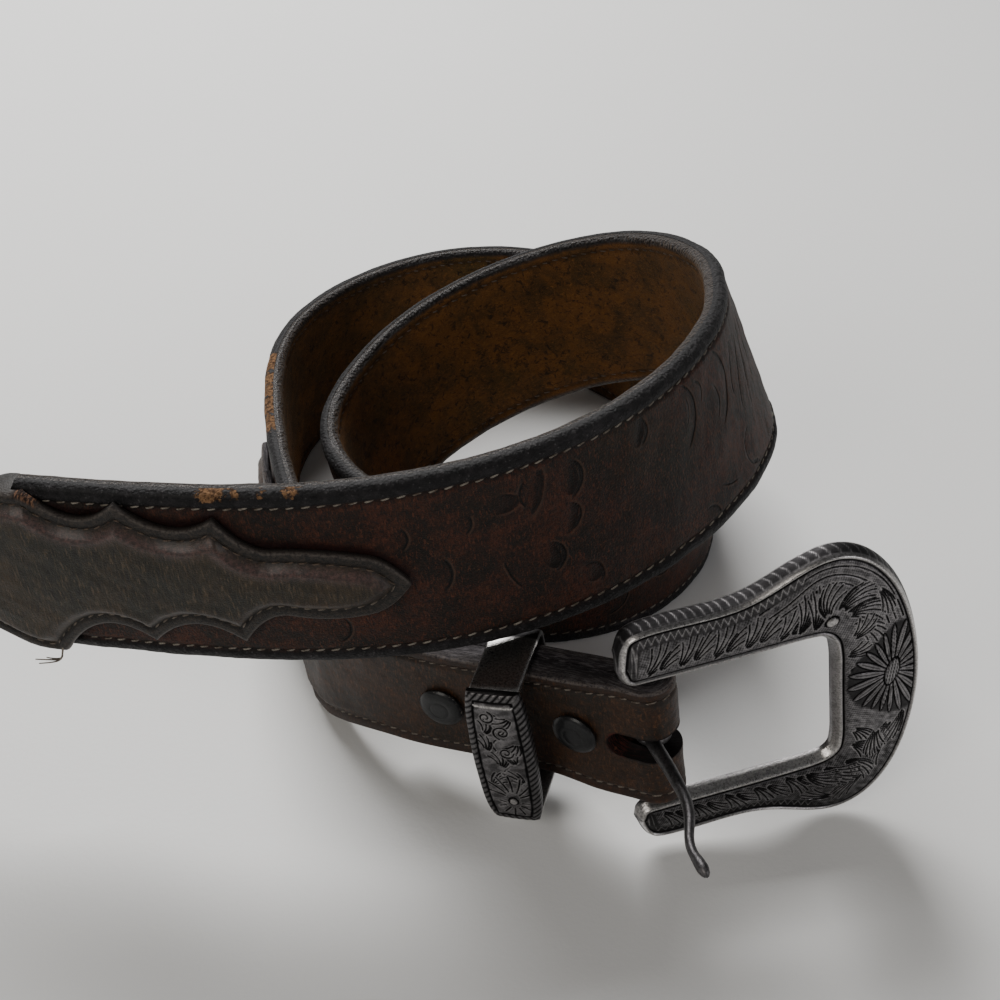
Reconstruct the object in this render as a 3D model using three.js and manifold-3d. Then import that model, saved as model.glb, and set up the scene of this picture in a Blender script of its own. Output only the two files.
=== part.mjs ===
import * as THREE from 'three';
import { mergeVertices } from 'three/addons/utils/BufferGeometryUtils.js';
import Module from 'manifold-3d';

const wasm = await Module();
wasm.setup();

// A western belt that stands on its edge in a loose spiral, in millimetres and degrees, +Z up.
// Every place on the belt is given by its distance along it from the tip of the free end, by
// its height across the width from the centre line, and by its depth out from the back of the
// tooled ply.

// Leather
const bodyWidth = 38;
const billetWidth = 25;
const foldWidth = 27.2;
const faceThickness = 2.1;
const liningThickness = 1.8;
const plyGap = 0.3;
const rimChamfer = 0.9;
const liningSetBack = 0.4;
const overlayThickness = 1.6;
const overlayPadding = 1.3;
const billetThickness = 4.8;

// Where the leather pieces begin and end along the belt
const bodyStart = 152.5;
const bodyEnd = 820;
const turnedBackLength = 52;
const leatherStep = 5;
const scallopStep = 2.2;

// Punched holes of the free end
const holeCount = 5;
const holeSpacing = 22;
const firstHole = 34;
const holeRadius = 2.2;

// Buckle bar, fold and prong slot
const barRadius = 1.5;
const barClearance = 0.3;
const barDepth = -1.4;
const foldThickness = 3.3;
const turnedBackThickness = 3;
const turnedBackGap = 0.3;
const backOpening = 7;
const slotWidth = 5.4;
const frontSlotLength = 9.5;
const backSlotLength = 7;

// Snap fasteners, with their rise off the centre line
const snapPlaces = [
  { along: 854.7, rise: 0 },
  { along: 882.1, rise: 1 },
];
const snapRadius = 4.25;
const snapPostRadius = 2;
const snapHoleRadius = 2.35;
const snapSocketRadius = 4.4;
const snapGap = 0.45;

// The keeper hangs from the upper edge of the strap, turned a little, with room in front
const keeperPlace = 868.5;
const keeperTurn = 8;
const keeperWidth = 9;
const keeperWall = 1.3;
const keeperFrontWall = 0.8;
const keeperRoom = { bottom: -16.9, top: 12.9, back: -4.6, front: 11.4 };

// Angles of the buckle from the line of the belt, and of the prong from the buckle
const buckleTurn = 44.5;
const prongTurn = 94;

// The middle of the footprint, which becomes the origin
const footprintMiddle = { x: -71.6, y: -36.54 };

// The way the belt runs, from the free end to the buckle bar. Height is that of the centre
// line, and lean tips the upper edge outwards.
const route = [
  { x: -216, y: -24, height: 45, lean: 3 },
  { x: -175, y: -52.5, height: 47.5, lean: 3 },
  { x: -129, y: -73, height: 50, lean: 3 },
  { x: -81, y: -86, height: 52.7, lean: 3 },
  { x: -56.5, y: -90.7, height: 54.1, lean: 2.4 },
  { x: -31.7, y: -93.3, height: 55.7, lean: 0.8 },
  { x: -6.9, y: -91.5, height: 58, lean: -2.2 },
  { x: 16.2, y: -82.9, height: 60.8, lean: -6.6 },
  { x: 31.7, y: -70.4, height: 62.7, lean: -11.5 },
  { x: 42.9, y: -54, height: 63.9, lean: -17.9 },
  { x: 48.1, y: -34.8, height: 63.4, lean: -23.1 },
  { x: 45.5, y: -15.4, height: 60.1, lean: -20.8 },
  { x: 35.4, y: 0.6, height: 54.1, lean: -12.1 },
  { x: 19.7, y: 10.2, height: 46.6, lean: -3 },
  { x: 1.6, y: 11.8, height: 38.7, lean: 5.5 },
  { x: -15.6, y: 5.3, height: 31.2, lean: 11.9 },
  { x: -28.4, y: -8.5, height: 24.8, lean: 14 },
  { x: -32.9, y: -27.1, height: 20.9, lean: 11.6 },
  { x: -23.7, y: -43.1, height: 19.4, lean: 7.4 },
  { x: 0.7, y: -50.9, height: 19.2, lean: 3 },
  { x: 26.8, y: -45.3, height: 19, lean: 0 },
  { x: 45.6, y: -25.1, height: 19, lean: 0 },
  { x: 49.1, y: 4.6, height: 19, lean: 0 },
  { x: 39.8, y: 33.2, height: 19, lean: 0 },
  { x: 19.3, y: 55.1, height: 19, lean: 0 },
  { x: -6.6, y: 60.5, height: 19, lean: 0 },
  { x: -31.5, y: 49.1, height: 19, lean: 0 },
  { x: -50.7, y: 20.5, height: 19, lean: 0 },
  { x: -50.5, y: -14.1, height: 19, lean: 0 },
  { x: -44.2, y: -43.4, height: 19.2, lean: -2 },
  { x: -34.4, y: -66, height: 19.8, lean: -2.4 },
  { x: -22.2, y: -80.3, height: 21.2, lean: 0 },
  { x: -3, y: -89.5, height: 23.7, lean: 2.6 },
  { x: 11.7, y: -96.1, height: 25.9, lean: 3 },
  { x: 26.15, y: -104.6, height: 28.3, lean: 3 },
];

// Edges of the two scalloped overlays. Reach is measured from the cut end of the body towards
// the overlay's tip, rise across the width, and sag is how deep the edge from the row before
// hangs towards the centre line.
const upperScallops = [
  { reach: 64.3, rise: -0.4, sag: 0 },
  { reach: 57.5, rise: 6, sag: -1.2 },
  { reach: 42.5, rise: 8.3, sag: -0.6 },
  { reach: 34.1, rise: 15.1, sag: 1.7 },
  { reach: 18, rise: 17.6, sag: 3.5 },
  { reach: 2, rise: 19.2, sag: 4.2 },
];
const lowerScallops = [
  { reach: 64.3, rise: -1.2, sag: 0 },
  { reach: 57.5, rise: -6.4, sag: -1 },
  { reach: 44.5, rise: -6.1, sag: -0.7 },
  { reach: 35.2, rise: -12.3, sag: 2.3 },
  { reach: 18.8, rise: -13.3, sag: 4.3 },
  { reach: 0, rise: -19.2, sag: 6 },
];
// An overlay leaves the body at this half width, and narrows to its billet between these
// distances past the body's cut end
const shoulderHalfWidth = 19.2;
const tipShoulder = { from: 1.5, to: 18 };
const buckleShoulder = { from: -2, to: 24 };
// The free end comes to a blunt point over this length
const pointLength = 22;
const pointWidth = 5;

// Half of the buckle frame, from the nose of its upper arm to the middle of its round end:
// reach runs from the bar along the arms, rise along the bar, and fullness scales the dome's
// thickness.
const frameRows = [
  { innerReach: -5.7, innerRise: 18, outerReach: -5.7, outerRise: 20.2, fullness: 0.3 },
  { innerReach: -5.1, innerRise: 15.8, outerReach: -4.6, outerRise: 23.2, fullness: 0.75 },
  { innerReach: -2.8, innerRise: 14.5, outerReach: -1.2, outerRise: 25.2, fullness: 1 },
  { innerReach: 6, innerRise: 14.4, outerReach: 7, outerRise: 25.4, fullness: 1 },
  { innerReach: 16, innerRise: 14.4, outerReach: 15.6, outerRise: 25.5, fullness: 1 },
  { innerReach: 24, innerRise: 14.4, outerReach: 23, outerRise: 27.8, fullness: 1 },
  { innerReach: 29.6, innerRise: 14.1, outerReach: 31, outerRise: 30.7, fullness: 1 },
  { innerReach: 31.8, innerRise: 12.2, outerReach: 38.7, outerRise: 28.9, fullness: 1 },
  { innerReach: 32.2, innerRise: 8, outerReach: 44.6, outerRise: 21.8, fullness: 1 },
  { innerReach: 32.2, innerRise: 4, outerReach: 48, outerRise: 11.5, fullness: 1 },
  { innerReach: 32.2, innerRise: 0, outerReach: 49.2, outerRise: 0, fullness: 1 },
];
// The frame's domed section: across runs from its inner edge, 0, to its outer edge, 1
const frameSection = [
  { across: 0, depth: 2.2 },
  { across: 0.1, depth: 3.6 },
  { across: 0.2, depth: 4 },
  { across: 0.5, depth: 3.5 },
  { across: 0.8, depth: 2.3 },
  { across: 0.9, depth: 2.4 },
  { across: 0.97, depth: 1.9 },
  { across: 1, depth: 0.6 },
];
// Depth of the dished back at the frame's inner and outer edge
const frameBackInner = 1.2;
const frameBackOuter = -1;
const frameStepsPerRow = 4;
const barHalfLength = 20;

// The prong's centre line as it lies when the buckle is closed, with its width along the bar
// and its thickness
const prongRows = [
  { reach: 2.4, depth: 0.9, width: 2.5, thickness: 2.4 },
  { reach: 4.8, depth: 0.5, width: 2.5, thickness: 2.6 },
  { reach: 9, depth: -0.3, width: 2.4, thickness: 2.4 },
  { reach: 13, depth: -0.9, width: 2.3, thickness: 2.2 },
  { reach: 17.5, depth: -1.3, width: 2.1, thickness: 2 },
  { reach: 21.5, depth: -0.8, width: 2, thickness: 1.8 },
  { reach: 25.5, depth: 0.3, width: 1.9, thickness: 1.7 },
  { reach: 28.2, depth: 0.4, width: 1.9, thickness: 1.7 },
  { reach: 31.1, depth: -0.1, width: 2, thickness: 1.9 },
  { reach: 32.8, depth: -0.5, width: 1.2, thickness: 1.1 },
];
const prongEyeWall = 1.5;
const prongShift = 0.5;

// The keeper's front plate, along the height of the belt
const keeperPlateRows = [
  { rise: -18.2, halfWidth: 4.3, dome: 1.3 },
  { rise: -16, halfWidth: 4.9, dome: 1.9 },
  { rise: -9, halfWidth: 5.6, dome: 2.3 },
  { rise: -2, halfWidth: 5.8, dome: 2.4 },
  { rise: 6, halfWidth: 5.6, dome: 2.3 },
  { rise: 12.2, halfWidth: 5.1, dome: 1.9 },
  { rise: 14.2, halfWidth: 4.7, dome: 1.3 },
];

// Curves through rows of a table

function naturalSpline(knots, values) {
  const last = knots.length - 1;
  const bend = new Array(last + 1).fill(0);
  const carry = new Array(last + 1).fill(0);
  for (let i = 1; i < last; i += 1) {
    const before = knots[i] - knots[i - 1];
    const after = knots[i + 1] - knots[i];
    const slopeChange = (values[i + 1] - values[i]) / after - (values[i] - values[i - 1]) / before;
    const pivot = 2 * (before + after) - before * carry[i - 1];
    carry[i] = after / pivot;
    bend[i] = (6 * slopeChange - before * bend[i - 1]) / pivot;
  }
  for (let i = last - 1; i > 0; i -= 1) {
    bend[i] -= carry[i] * bend[i + 1];
  }
  return (at) => {
    let i = 0;
    while (i < last - 1 && at > knots[i + 1]) i += 1;
    const span = knots[i + 1] - knots[i];
    const right = (at - knots[i]) / span;
    const left = 1 - right;
    const curve = (left ** 3 - left) * bend[i] + (right ** 3 - right) * bend[i + 1];
    return left * values[i] + right * values[i + 1] + (curve * span * span) / 6;
  };
}

// Never overshoots its rows, so a level stretch stays level
function steadyCurve(knots, values) {
  const last = knots.length - 1;
  const slopes = [];
  for (let i = 0; i < last; i += 1) {
    slopes.push((values[i + 1] - values[i]) / (knots[i + 1] - knots[i]));
  }
  const tangents = knots.map((knot, i) => {
    if (i === 0) return slopes[0];
    if (i === last) return slopes[last - 1];
    const product = slopes[i - 1] * slopes[i];
    return product <= 0 ? 0 : (2 * product) / (slopes[i - 1] + slopes[i]);
  });
  return (at) => {
    let i = 0;
    while (i < last - 1 && at > knots[i + 1]) i += 1;
    const span = knots[i + 1] - knots[i];
    const t = (at - knots[i]) / span;
    const rise = values[i + 1] - values[i];
    const start = tangents[i] * span;
    const end = tangents[i + 1] * span;
    return values[i] + start * t + (3 * rise - 2 * start - end) * t * t
      + (start + end - 2 * rise) * t * t * t;
  };
}

function column(rows, name) {
  return rows.map((row) => row[name]);
}

function smoothStep(from, to, at) {
  return THREE.MathUtils.smoothstep(at, from, to);
}

// The belt's centre line, and the directions of the belt at any place along it

const routeKnots = [0];
for (let i = 1; i < route.length; i += 1) {
  const [a, b] = [route[i - 1], route[i]];
  const chord = Math.hypot(b.x - a.x, b.y - a.y, b.height - a.height);
  routeKnots.push(routeKnots[i - 1] + chord);
}
const routeX = naturalSpline(routeKnots, column(route, 'x'));
const routeY = naturalSpline(routeKnots, column(route, 'y'));
const routeHeight = steadyCurve(routeKnots, column(route, 'height'));
const routeLean = steadyCurve(routeKnots, column(route, 'lean'));

function routePoint(knot) {
  return new THREE.Vector3(routeX(knot), routeY(knot), routeHeight(knot));
}

// Distance along the belt for evenly spaced knots, to look the other way round
const knotStep = 1;
const knotTable = [{ knot: 0, along: 0 }];
const lastKnot = routeKnots[routeKnots.length - 1];
for (let knot = knotStep; knot < lastKnot + knotStep; knot += knotStep) {
  const end = Math.min(knot, lastKnot);
  const before = knotTable[knotTable.length - 1];
  const length = routePoint(before.knot).distanceTo(routePoint(end));
  knotTable.push({ knot: end, along: before.along + length });
}
const beltLength = knotTable[knotTable.length - 1].along;

function knotAt(along) {
  let i = 1;
  while (i < knotTable.length - 1 && knotTable[i].along < along) i += 1;
  const [a, b] = [knotTable[i - 1], knotTable[i]];
  return a.knot + ((b.knot - a.knot) * (along - a.along)) / (b.along - a.along);
}

function beltFrame(along) {
  const knot = knotAt(along);
  const reach = 0.5;
  const point = routePoint(knot);
  const forward = routePoint(knot + reach).sub(routePoint(knot - reach)).normalize();
  const up = new THREE.Vector3(0, 0, 1).addScaledVector(forward, -forward.z).normalize();
  up.applyAxisAngle(forward, THREE.MathUtils.degToRad(routeLean(knot)));
  const outward = new THREE.Vector3().crossVectors(forward, up);
  return { point, forward, up, outward };
}

function place(frame, rise, depth) {
  return frame.point.clone().addScaledVector(frame.up, rise).addScaledVector(frame.outward, depth);
}

// Solids

function closedBody(points, faces) {
  let volume = 0;
  for (let i = 0; i < faces.length; i += 3) {
    const [a, b, c] = [points[faces[i]], points[faces[i + 1]], points[faces[i + 2]]];
    volume += a.dot(new THREE.Vector3().crossVectors(b, c));
  }
  const outwards = volume > 0 ? faces : faces.slice().reverse();
  const geometry = new THREE.BufferGeometry();
  const positions = points.flatMap((point) => [point.x, point.y, point.z]);
  geometry.setAttribute('position', new THREE.Float32BufferAttribute(positions, 3));
  geometry.setIndex(outwards);
  geometry.computeVertexNormals();
  return geometry;
}

// A body through a row of outlines that all have the same number of points
function loft(outlines) {
  const size = outlines[0].length;
  const points = outlines.flat();
  const faces = [];
  for (let row = 0; row + 1 < outlines.length; row += 1) {
    for (let i = 0; i < size; i += 1) {
      const a = row * size + i;
      const b = row * size + ((i + 1) % size);
      faces.push(a, b, a + size, b, b + size, a + size);
    }
  }
  const ends = [0, outlines.length - 1];
  ends.forEach((row) => {
    const middle = new THREE.Vector3();
    outlines[row].forEach((point) => middle.addScaledVector(point, 1 / size));
    points.push(middle);
    for (let i = 0; i < size; i += 1) {
      const a = row * size + i;
      const b = row * size + ((i + 1) % size);
      faces.push(points.length - 1, ...(row === 0 ? [b, a] : [a, b]));
    }
  });
  return closedBody(points, faces);
}

function toSolid(geometry) {
  const bare = geometry.clone();
  bare.deleteAttribute('normal');
  bare.deleteAttribute('uv');
  const merged = mergeVertices(bare, 1e-4);
  const mesh = new wasm.Mesh({
    numProp: 3,
    vertProperties: new Float32Array(merged.attributes.position.array),
    triVerts: new Uint32Array(merged.index.array),
  });
  return new wasm.Manifold(mesh);
}

function toGeometry(solid) {
  const mesh = solid.getMesh();
  const geometry = new THREE.BufferGeometry();
  geometry.setAttribute('position', new THREE.BufferAttribute(mesh.vertProperties, 3));
  geometry.setIndex(new THREE.BufferAttribute(mesh.triVerts, 1));
  geometry.computeVertexNormals();
  return geometry;
}

function cutFrom(geometry, cutters) {
  let solid = toSolid(geometry);
  cutters.forEach((cutter) => {
    solid = solid.subtract(toSolid(cutter));
  });
  return toGeometry(solid);
}

function join(geometries) {
  return toGeometry(geometries.map(toSolid).reduce((whole, piece) => whole.add(piece)));
}

function frameMatrix(x, y, z, origin) {
  return new THREE.Matrix4().makeBasis(x, y, z).setPosition(origin);
}

function stepsBetween(from, to, size) {
  const count = Math.max(1, Math.round((to - from) / size));
  return Array.from({ length: count + 1 }, (unused, i) => from + ((to - from) * i) / count);
}

function piece(name, geometry, material) {
  const mesh = new THREE.Mesh(geometry, material);
  mesh.name = name;
  return mesh;
}

function leatherColour(colour) {
  return new THREE.MeshStandardMaterial({ color: colour, roughness: 0.6, metalness: 0 });
}

function metalColour(colour, roughness) {
  return new THREE.MeshStandardMaterial({ color: colour, roughness, metalness: 1 });
}

// The two plies of the body, each with its outer corners taken off

function facePly() {
  const half = bodyWidth / 2;
  const outlines = stepsBetween(bodyStart, bodyEnd, leatherStep).map((along) => {
    const frame = beltFrame(along);
    return [
      place(frame, -half, 0),
      place(frame, -half, faceThickness - rimChamfer),
      place(frame, -half + rimChamfer, faceThickness),
      place(frame, half - rimChamfer, faceThickness),
      place(frame, half, faceThickness - rimChamfer),
      place(frame, half, 0),
    ];
  });
  return loft(outlines);
}

function liningPly() {
  const half = bodyWidth / 2 - liningSetBack;
  const inner = -plyGap - liningThickness;
  const outlines = stepsBetween(bodyStart, bodyEnd, leatherStep).map((along) => {
    const frame = beltFrame(along);
    return [
      place(frame, -half, -plyGap),
      place(frame, -half, inner + rimChamfer),
      place(frame, -half + rimChamfer, inner),
      place(frame, half - rimChamfer, inner),
      place(frame, half, inner + rimChamfer),
      place(frame, half, -plyGap),
    ];
  });
  return loft(outlines);
}

// The section of an overlay or billet: a flat stitched margin round a padded middle
function paddedSection(frame, lower, upper, inner, outer, padding) {
  const middle = (lower + upper) / 2;
  const half = (upper - lower) / 2;
  const corner = Math.min(0.5, half * 0.2);
  const margin = Math.min(2.4, half * 0.5);
  const shoulder = Math.min(4.4, half * 0.75);
  return [
    place(frame, upper, inner),
    place(frame, upper, outer - corner),
    place(frame, upper - corner, outer),
    place(frame, upper - margin, outer),
    place(frame, upper - shoulder, outer + padding * 0.8),
    place(frame, middle, outer + padding),
    place(frame, lower + shoulder, outer + padding * 0.8),
    place(frame, lower + margin, outer),
    place(frame, lower + corner, outer),
    place(frame, lower, outer - corner),
    place(frame, lower, inner),
  ];
}

function scallopEdge(rows, reach) {
  let i = 1;
  while (i < rows.length - 1 && reach < rows[i].reach) i += 1;
  const [start, end] = [rows[i - 1], rows[i]];
  const t = THREE.MathUtils.clamp((start.reach - reach) / (start.reach - end.reach), 0, 1);
  const straight = THREE.MathUtils.lerp(start.rise, end.rise, t);
  return straight - Math.sign(start.rise + end.rise) * end.sag * 4 * t * (1 - t);
}

// Half width of a billet that leaves the body's cut end by this much
function shoulderWidth(shoulder, past) {
  const narrowed = smoothStep(shoulder.from, shoulder.to, past);
  return THREE.MathUtils.lerp(shoulderHalfWidth, billetWidth / 2, narrowed);
}

// The layer's back face lies on the body up to its cut end, and behind it lies in its plane
function billetBack(past) {
  return THREE.MathUtils.lerp(faceThickness + plyGap, 0, smoothStep(0.4, 2.4, past));
}

function tipBillet() {
  const tip = upperScallops[0].reach;
  const reaches = [
    ...stepsBetween(tip, 0, -scallopStep),
    -0.4,
    -2.4,
    ...stepsBetween(-5, -bodyStart + pointLength, -leatherStep),
    ...stepsBetween(-bodyStart + pointLength - 3, -bodyStart + 0.5, -3),
  ];
  const outlines = reaches.map((reach) => {
    const along = bodyStart + reach;
    const onBody = reach >= 0;
    const nose = Math.sqrt(THREE.MathUtils.clamp(1 - ((pointLength - along) / pointLength) ** 2, 0, 1));
    const plainHalf = shoulderWidth(tipShoulder, -reach);
    const half = along < pointLength
      ? THREE.MathUtils.lerp(pointWidth / 2, plainHalf, nose)
      : plainHalf;
    const upper = onBody ? scallopEdge(upperScallops, reach) : half;
    const lower = onBody ? scallopEdge(lowerScallops, reach) : -half;
    const outer = faceThickness + plyGap + overlayThickness;
    const padding = overlayPadding * (1 - 0.8 * smoothStep(0, 30, -reach));
    return paddedSection(beltFrame(along), lower, upper, billetBack(-reach), outer, padding);
  });
  const holes = Array.from({ length: holeCount }, (unused, i) => {
    const frame = beltFrame(firstHole + i * holeSpacing);
    const punch = new THREE.CylinderGeometry(holeRadius, holeRadius, 20, 16);
    const turn = frameMatrix(frame.forward, frame.outward, frame.up.clone().negate(), frame.point);
    return punch.applyMatrix4(turn);
  });
  return cutFrom(loft(outlines), holes);
}

// The buckle billet: overlay, front layer, fold round the bar and turned-back layer

const barSeat = beltFrame(beltLength);
const barCentre = place(barSeat, 0, barDepth);
const foldInner = barRadius + barClearance;

function billetHalfWidth(along) {
  const past = along - bodyEnd;
  const flare = smoothStep(beltLength - 20, beltLength - 4, along);
  return shoulderWidth(buckleShoulder, past) + ((foldWidth - billetWidth) / 2) * flare;
}

function foldSection(angle) {
  const turn = THREE.MathUtils.degToRad(angle);
  const outward = barSeat.outward.clone().multiplyScalar(Math.cos(turn));
  outward.addScaledVector(barSeat.forward, Math.sin(turn));
  const frame = { point: barCentre, up: barSeat.up, outward };
  const thickness = THREE.MathUtils.lerp(foldThickness, turnedBackThickness, angle / 180);
  const half = foldWidth / 2;
  return paddedSection(frame, -half, half, foldInner, foldInner + thickness, 0);
}

// The axis of a snap stands along the second axis of its seat
function snapSeat({ along, rise }) {
  const frame = beltFrame(along);
  const down = frame.up.clone().negate();
  return frameMatrix(frame.forward, frame.outward, down, place(frame, rise, 0));
}

function snapDrill(snapPlace) {
  const drill = new THREE.CylinderGeometry(snapHoleRadius, snapHoleRadius, 30, 16);
  return drill.applyMatrix4(snapSeat(snapPlace));
}

function slotCutter() {
  const round = slotWidth / 2;
  const slot = (length, from, to) => {
    const outline = new THREE.Shape();
    outline.moveTo(12, -round);
    outline.lineTo(12, round);
    outline.lineTo(-length + round, round);
    outline.absarc(-length + round, 0, round, Math.PI / 2, 1.5 * Math.PI, false);
    outline.lineTo(12, -round);
    const cutter = new THREE.ExtrudeGeometry(outline, {
      depth: to - from, bevelEnabled: false, curveSegments: 8,
    });
    return cutter.translate(0, 0, from);
  };
  const turn = frameMatrix(barSeat.forward, barSeat.up, barSeat.outward, barCentre);
  return [
    slot(frontSlotLength, -1, 14).applyMatrix4(turn),
    slot(backSlotLength, -14, 0).applyMatrix4(turn),
  ];
}

function buckleBillet() {
  const tip = upperScallops[0].reach;
  const overlay = [
    ...stepsBetween(bodyEnd - tip, bodyEnd, scallopStep),
    bodyEnd + 0.4,
    bodyEnd + 2.4,
    ...stepsBetween(bodyEnd + 5, beltLength - 2.5, 3.5),
  ];
  const outlines = overlay.map((along) => {
    const past = along - bodyEnd;
    const onBody = past <= 0;
    const half = billetHalfWidth(along);
    const upper = onBody ? scallopEdge(upperScallops, -past) : half;
    const lower = onBody ? scallopEdge(lowerScallops, -past) : -half;
    const atBar = smoothStep(beltLength - 12, beltLength, along);
    const inner = THREE.MathUtils.lerp(billetBack(past), barDepth + foldInner, atBar);
    const overlayFront = faceThickness + plyGap + overlayThickness;
    const front = THREE.MathUtils.lerp(overlayFront, billetThickness, smoothStep(0, 8, past));
    const outer = THREE.MathUtils.lerp(front, barDepth + foldInner + foldThickness, atBar);
    const padding = overlayPadding * (1 - smoothStep(0, 26, past));
    return paddedSection(beltFrame(along), lower, upper, inner, outer, padding);
  });
  for (let angle = 0; angle <= 180; angle += 15) {
    outlines.push(foldSection(angle));
  }
  const back = stepsBetween(beltLength - 2.5, beltLength - turnedBackLength, -3.5);
  back.forEach((along) => {
    const frame = beltFrame(along);
    const turned = { ...frame, outward: frame.outward.clone().negate() };
    const opening = smoothStep(beltLength - backOpening, beltLength, along);
    const inner = THREE.MathUtils.lerp(turnedBackGap, foldInner - barDepth, opening);
    const half = billetHalfWidth(along) - 0.1;
    outlines.push(paddedSection(turned, -half, half, inner, inner + turnedBackThickness, 0));
  });
  return cutFrom(loft(outlines), [...snapPlaces.map(snapDrill), ...slotCutter()]);
}

// A snap fastener: domed cap, post through both layers, and socket behind
function snapFastener(snapPlace) {
  const front = billetThickness + snapGap;
  const back = -turnedBackGap - turnedBackThickness - snapGap;
  const profile = [
    [0, back - 1.6],
    [snapSocketRadius - 0.8, back - 1.6],
    [snapSocketRadius, back - 1.1],
    [snapSocketRadius, back],
    [snapPostRadius, back],
    [snapPostRadius, front],
    [snapRadius, front],
    [snapRadius, front + 0.4],
    [snapRadius * 0.84, front + 1],
    [snapRadius * 0.5, front + 1.4],
    [0, front + 1.6],
  ].map(([radius, depth]) => new THREE.Vector2(radius, depth));
  const geometry = toGeometry(toSolid(new THREE.LatheGeometry(profile, 24)));
  return geometry.applyMatrix4(snapSeat(snapPlace));
}

// The keeper: a plain band round both layers, with a domed plate in front
function keeperLoop() {
  const { bottom, top, back, front } = keeperRoom;
  const rectangle = (path, wall, frontWall) => {
    path.moveTo(bottom - wall, back - wall);
    path.lineTo(top + wall, back - wall);
    path.lineTo(top + wall, front + frontWall);
    path.lineTo(bottom - wall, front + frontWall);
    path.closePath();
    return path;
  };
  const loop = rectangle(new THREE.Shape(), keeperWall, keeperFrontWall);
  loop.holes.push(rectangle(new THREE.Path(), 0, 0));
  const band = new THREE.ExtrudeGeometry(loop, { depth: keeperWidth, bevelEnabled: false });
  band.translate(0, 0, -keeperWidth / 2);
  const outlines = keeperPlateRows.map(({ rise, halfWidth, dome }) => [
    new THREE.Vector3(rise, front, -halfWidth),
    new THREE.Vector3(rise, front + dome * 0.6, -halfWidth),
    new THREE.Vector3(rise, front + dome * 0.9, -halfWidth * 0.72),
    new THREE.Vector3(rise, front + dome, 0),
    new THREE.Vector3(rise, front + dome * 0.9, halfWidth * 0.72),
    new THREE.Vector3(rise, front + dome * 0.6, halfWidth),
    new THREE.Vector3(rise, front, halfWidth),
  ]);
  return join([band, loft(outlines)]);
}

// The buckle frame with its bar, and the prong, each about the middle of the bar: x along the
// arms, y along the bar, z out of the front

function buckleFrame() {
  const mirrored = frameRows.slice(0, -1).reverse().map((row) => ({
    ...row, innerRise: -row.innerRise, outerRise: -row.outerRise,
  }));
  const rows = [...frameRows, ...mirrored];
  const knots = rows.map((row, i) => i);
  const innerReach = steadyCurve(knots, column(rows, 'innerReach'));
  const innerRise = steadyCurve(knots, column(rows, 'innerRise'));
  const outerReach = naturalSpline(knots, column(rows, 'outerReach'));
  const outerRise = naturalSpline(knots, column(rows, 'outerRise'));
  const fullness = steadyCurve(knots, column(rows, 'fullness'));
  const stations = stepsBetween(0, rows.length - 1, 1 / frameStepsPerRow);
  const outlines = stations.map((at) => {
    const inner = new THREE.Vector2(innerReach(at), innerRise(at));
    const outer = new THREE.Vector2(outerReach(at), outerRise(at));
    const point = (across, depth) => {
      const flat = inner.clone().lerp(outer, across);
      return new THREE.Vector3(flat.x, flat.y, depth);
    };
    const front = frameSection.map(({ across, depth }) => {
      const back = THREE.MathUtils.lerp(frameBackInner, frameBackOuter, across);
      return point(across, THREE.MathUtils.lerp(back, depth, fullness(at)));
    });
    return [point(0, frameBackInner), ...front, point(1, frameBackOuter)];
  });
  const bar = new THREE.CylinderGeometry(barRadius, barRadius, 2 * barHalfLength, 16);
  return join([loft(outlines), bar]);
}

function buckleProng() {
  const rows = prongRows;
  const outlines = rows.map((row, i) => {
    const before = rows[Math.max(0, i - 1)];
    const after = rows[Math.min(rows.length - 1, i + 1)];
    const slope = new THREE.Vector2(after.reach - before.reach, after.depth - before.depth);
    slope.normalize();
    return Array.from({ length: 8 }, (unused, k) => {
      const angle = ((k + 0.5) / 8) * 2 * Math.PI;
      const lift = (row.thickness / 2) * Math.cos(angle);
      const side = (row.width / 2) * Math.sin(angle);
      return new THREE.Vector3(row.reach - slope.y * lift, side, row.depth + slope.x * lift);
    });
  });
  const eyeInner = barRadius + barClearance;
  const eyeOuter = eyeInner + prongEyeWall;
  const half = prongRows[0].width / 2;
  const profile = [
    [eyeInner, -half],
    [eyeOuter, -half],
    [eyeOuter, half],
    [eyeInner, half],
    [eyeInner, -half],
  ].map(([radius, rise]) => new THREE.Vector2(radius, rise));
  const eye = new THREE.LatheGeometry(profile, 24);
  return join([loft(outlines), eye]);
}

const leather = leatherColour(0x2e1a14);
const suede = leatherColour(0x4a3015);
const billetLeather = leatherColour(0x49301f);
const snapBlack = metalColour(0x1c1d1d, 0.35);
const silver = metalColour(0x9a9690, 0.3);

const belt = new THREE.Group();
belt.add(
  piece('strap_face', facePly(), leather),
  piece('strap_lining', liningPly(), suede),
  piece('tip_billet', tipBillet(), leather),
  piece('buckle_billet', buckleBillet(), billetLeather),
);
snapPlaces.forEach((snapPlace, i) => {
  belt.add(piece(`snap_${i + 1}`, snapFastener(snapPlace), snapBlack));
});

const keeper = piece('keeper', keeperLoop(), silver);
const keeperSeat = beltFrame(keeperPlace);
const keeperAngle = THREE.MathUtils.degToRad(keeperTurn);
keeperSeat.outward.applyAxisAngle(keeperSeat.up, keeperAngle);
keeperSeat.forward.applyAxisAngle(keeperSeat.up, keeperAngle);
keeper.applyMatrix4(
  frameMatrix(keeperSeat.up, keeperSeat.outward, keeperSeat.forward, keeperSeat.point),
);
belt.add(keeper);

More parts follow.
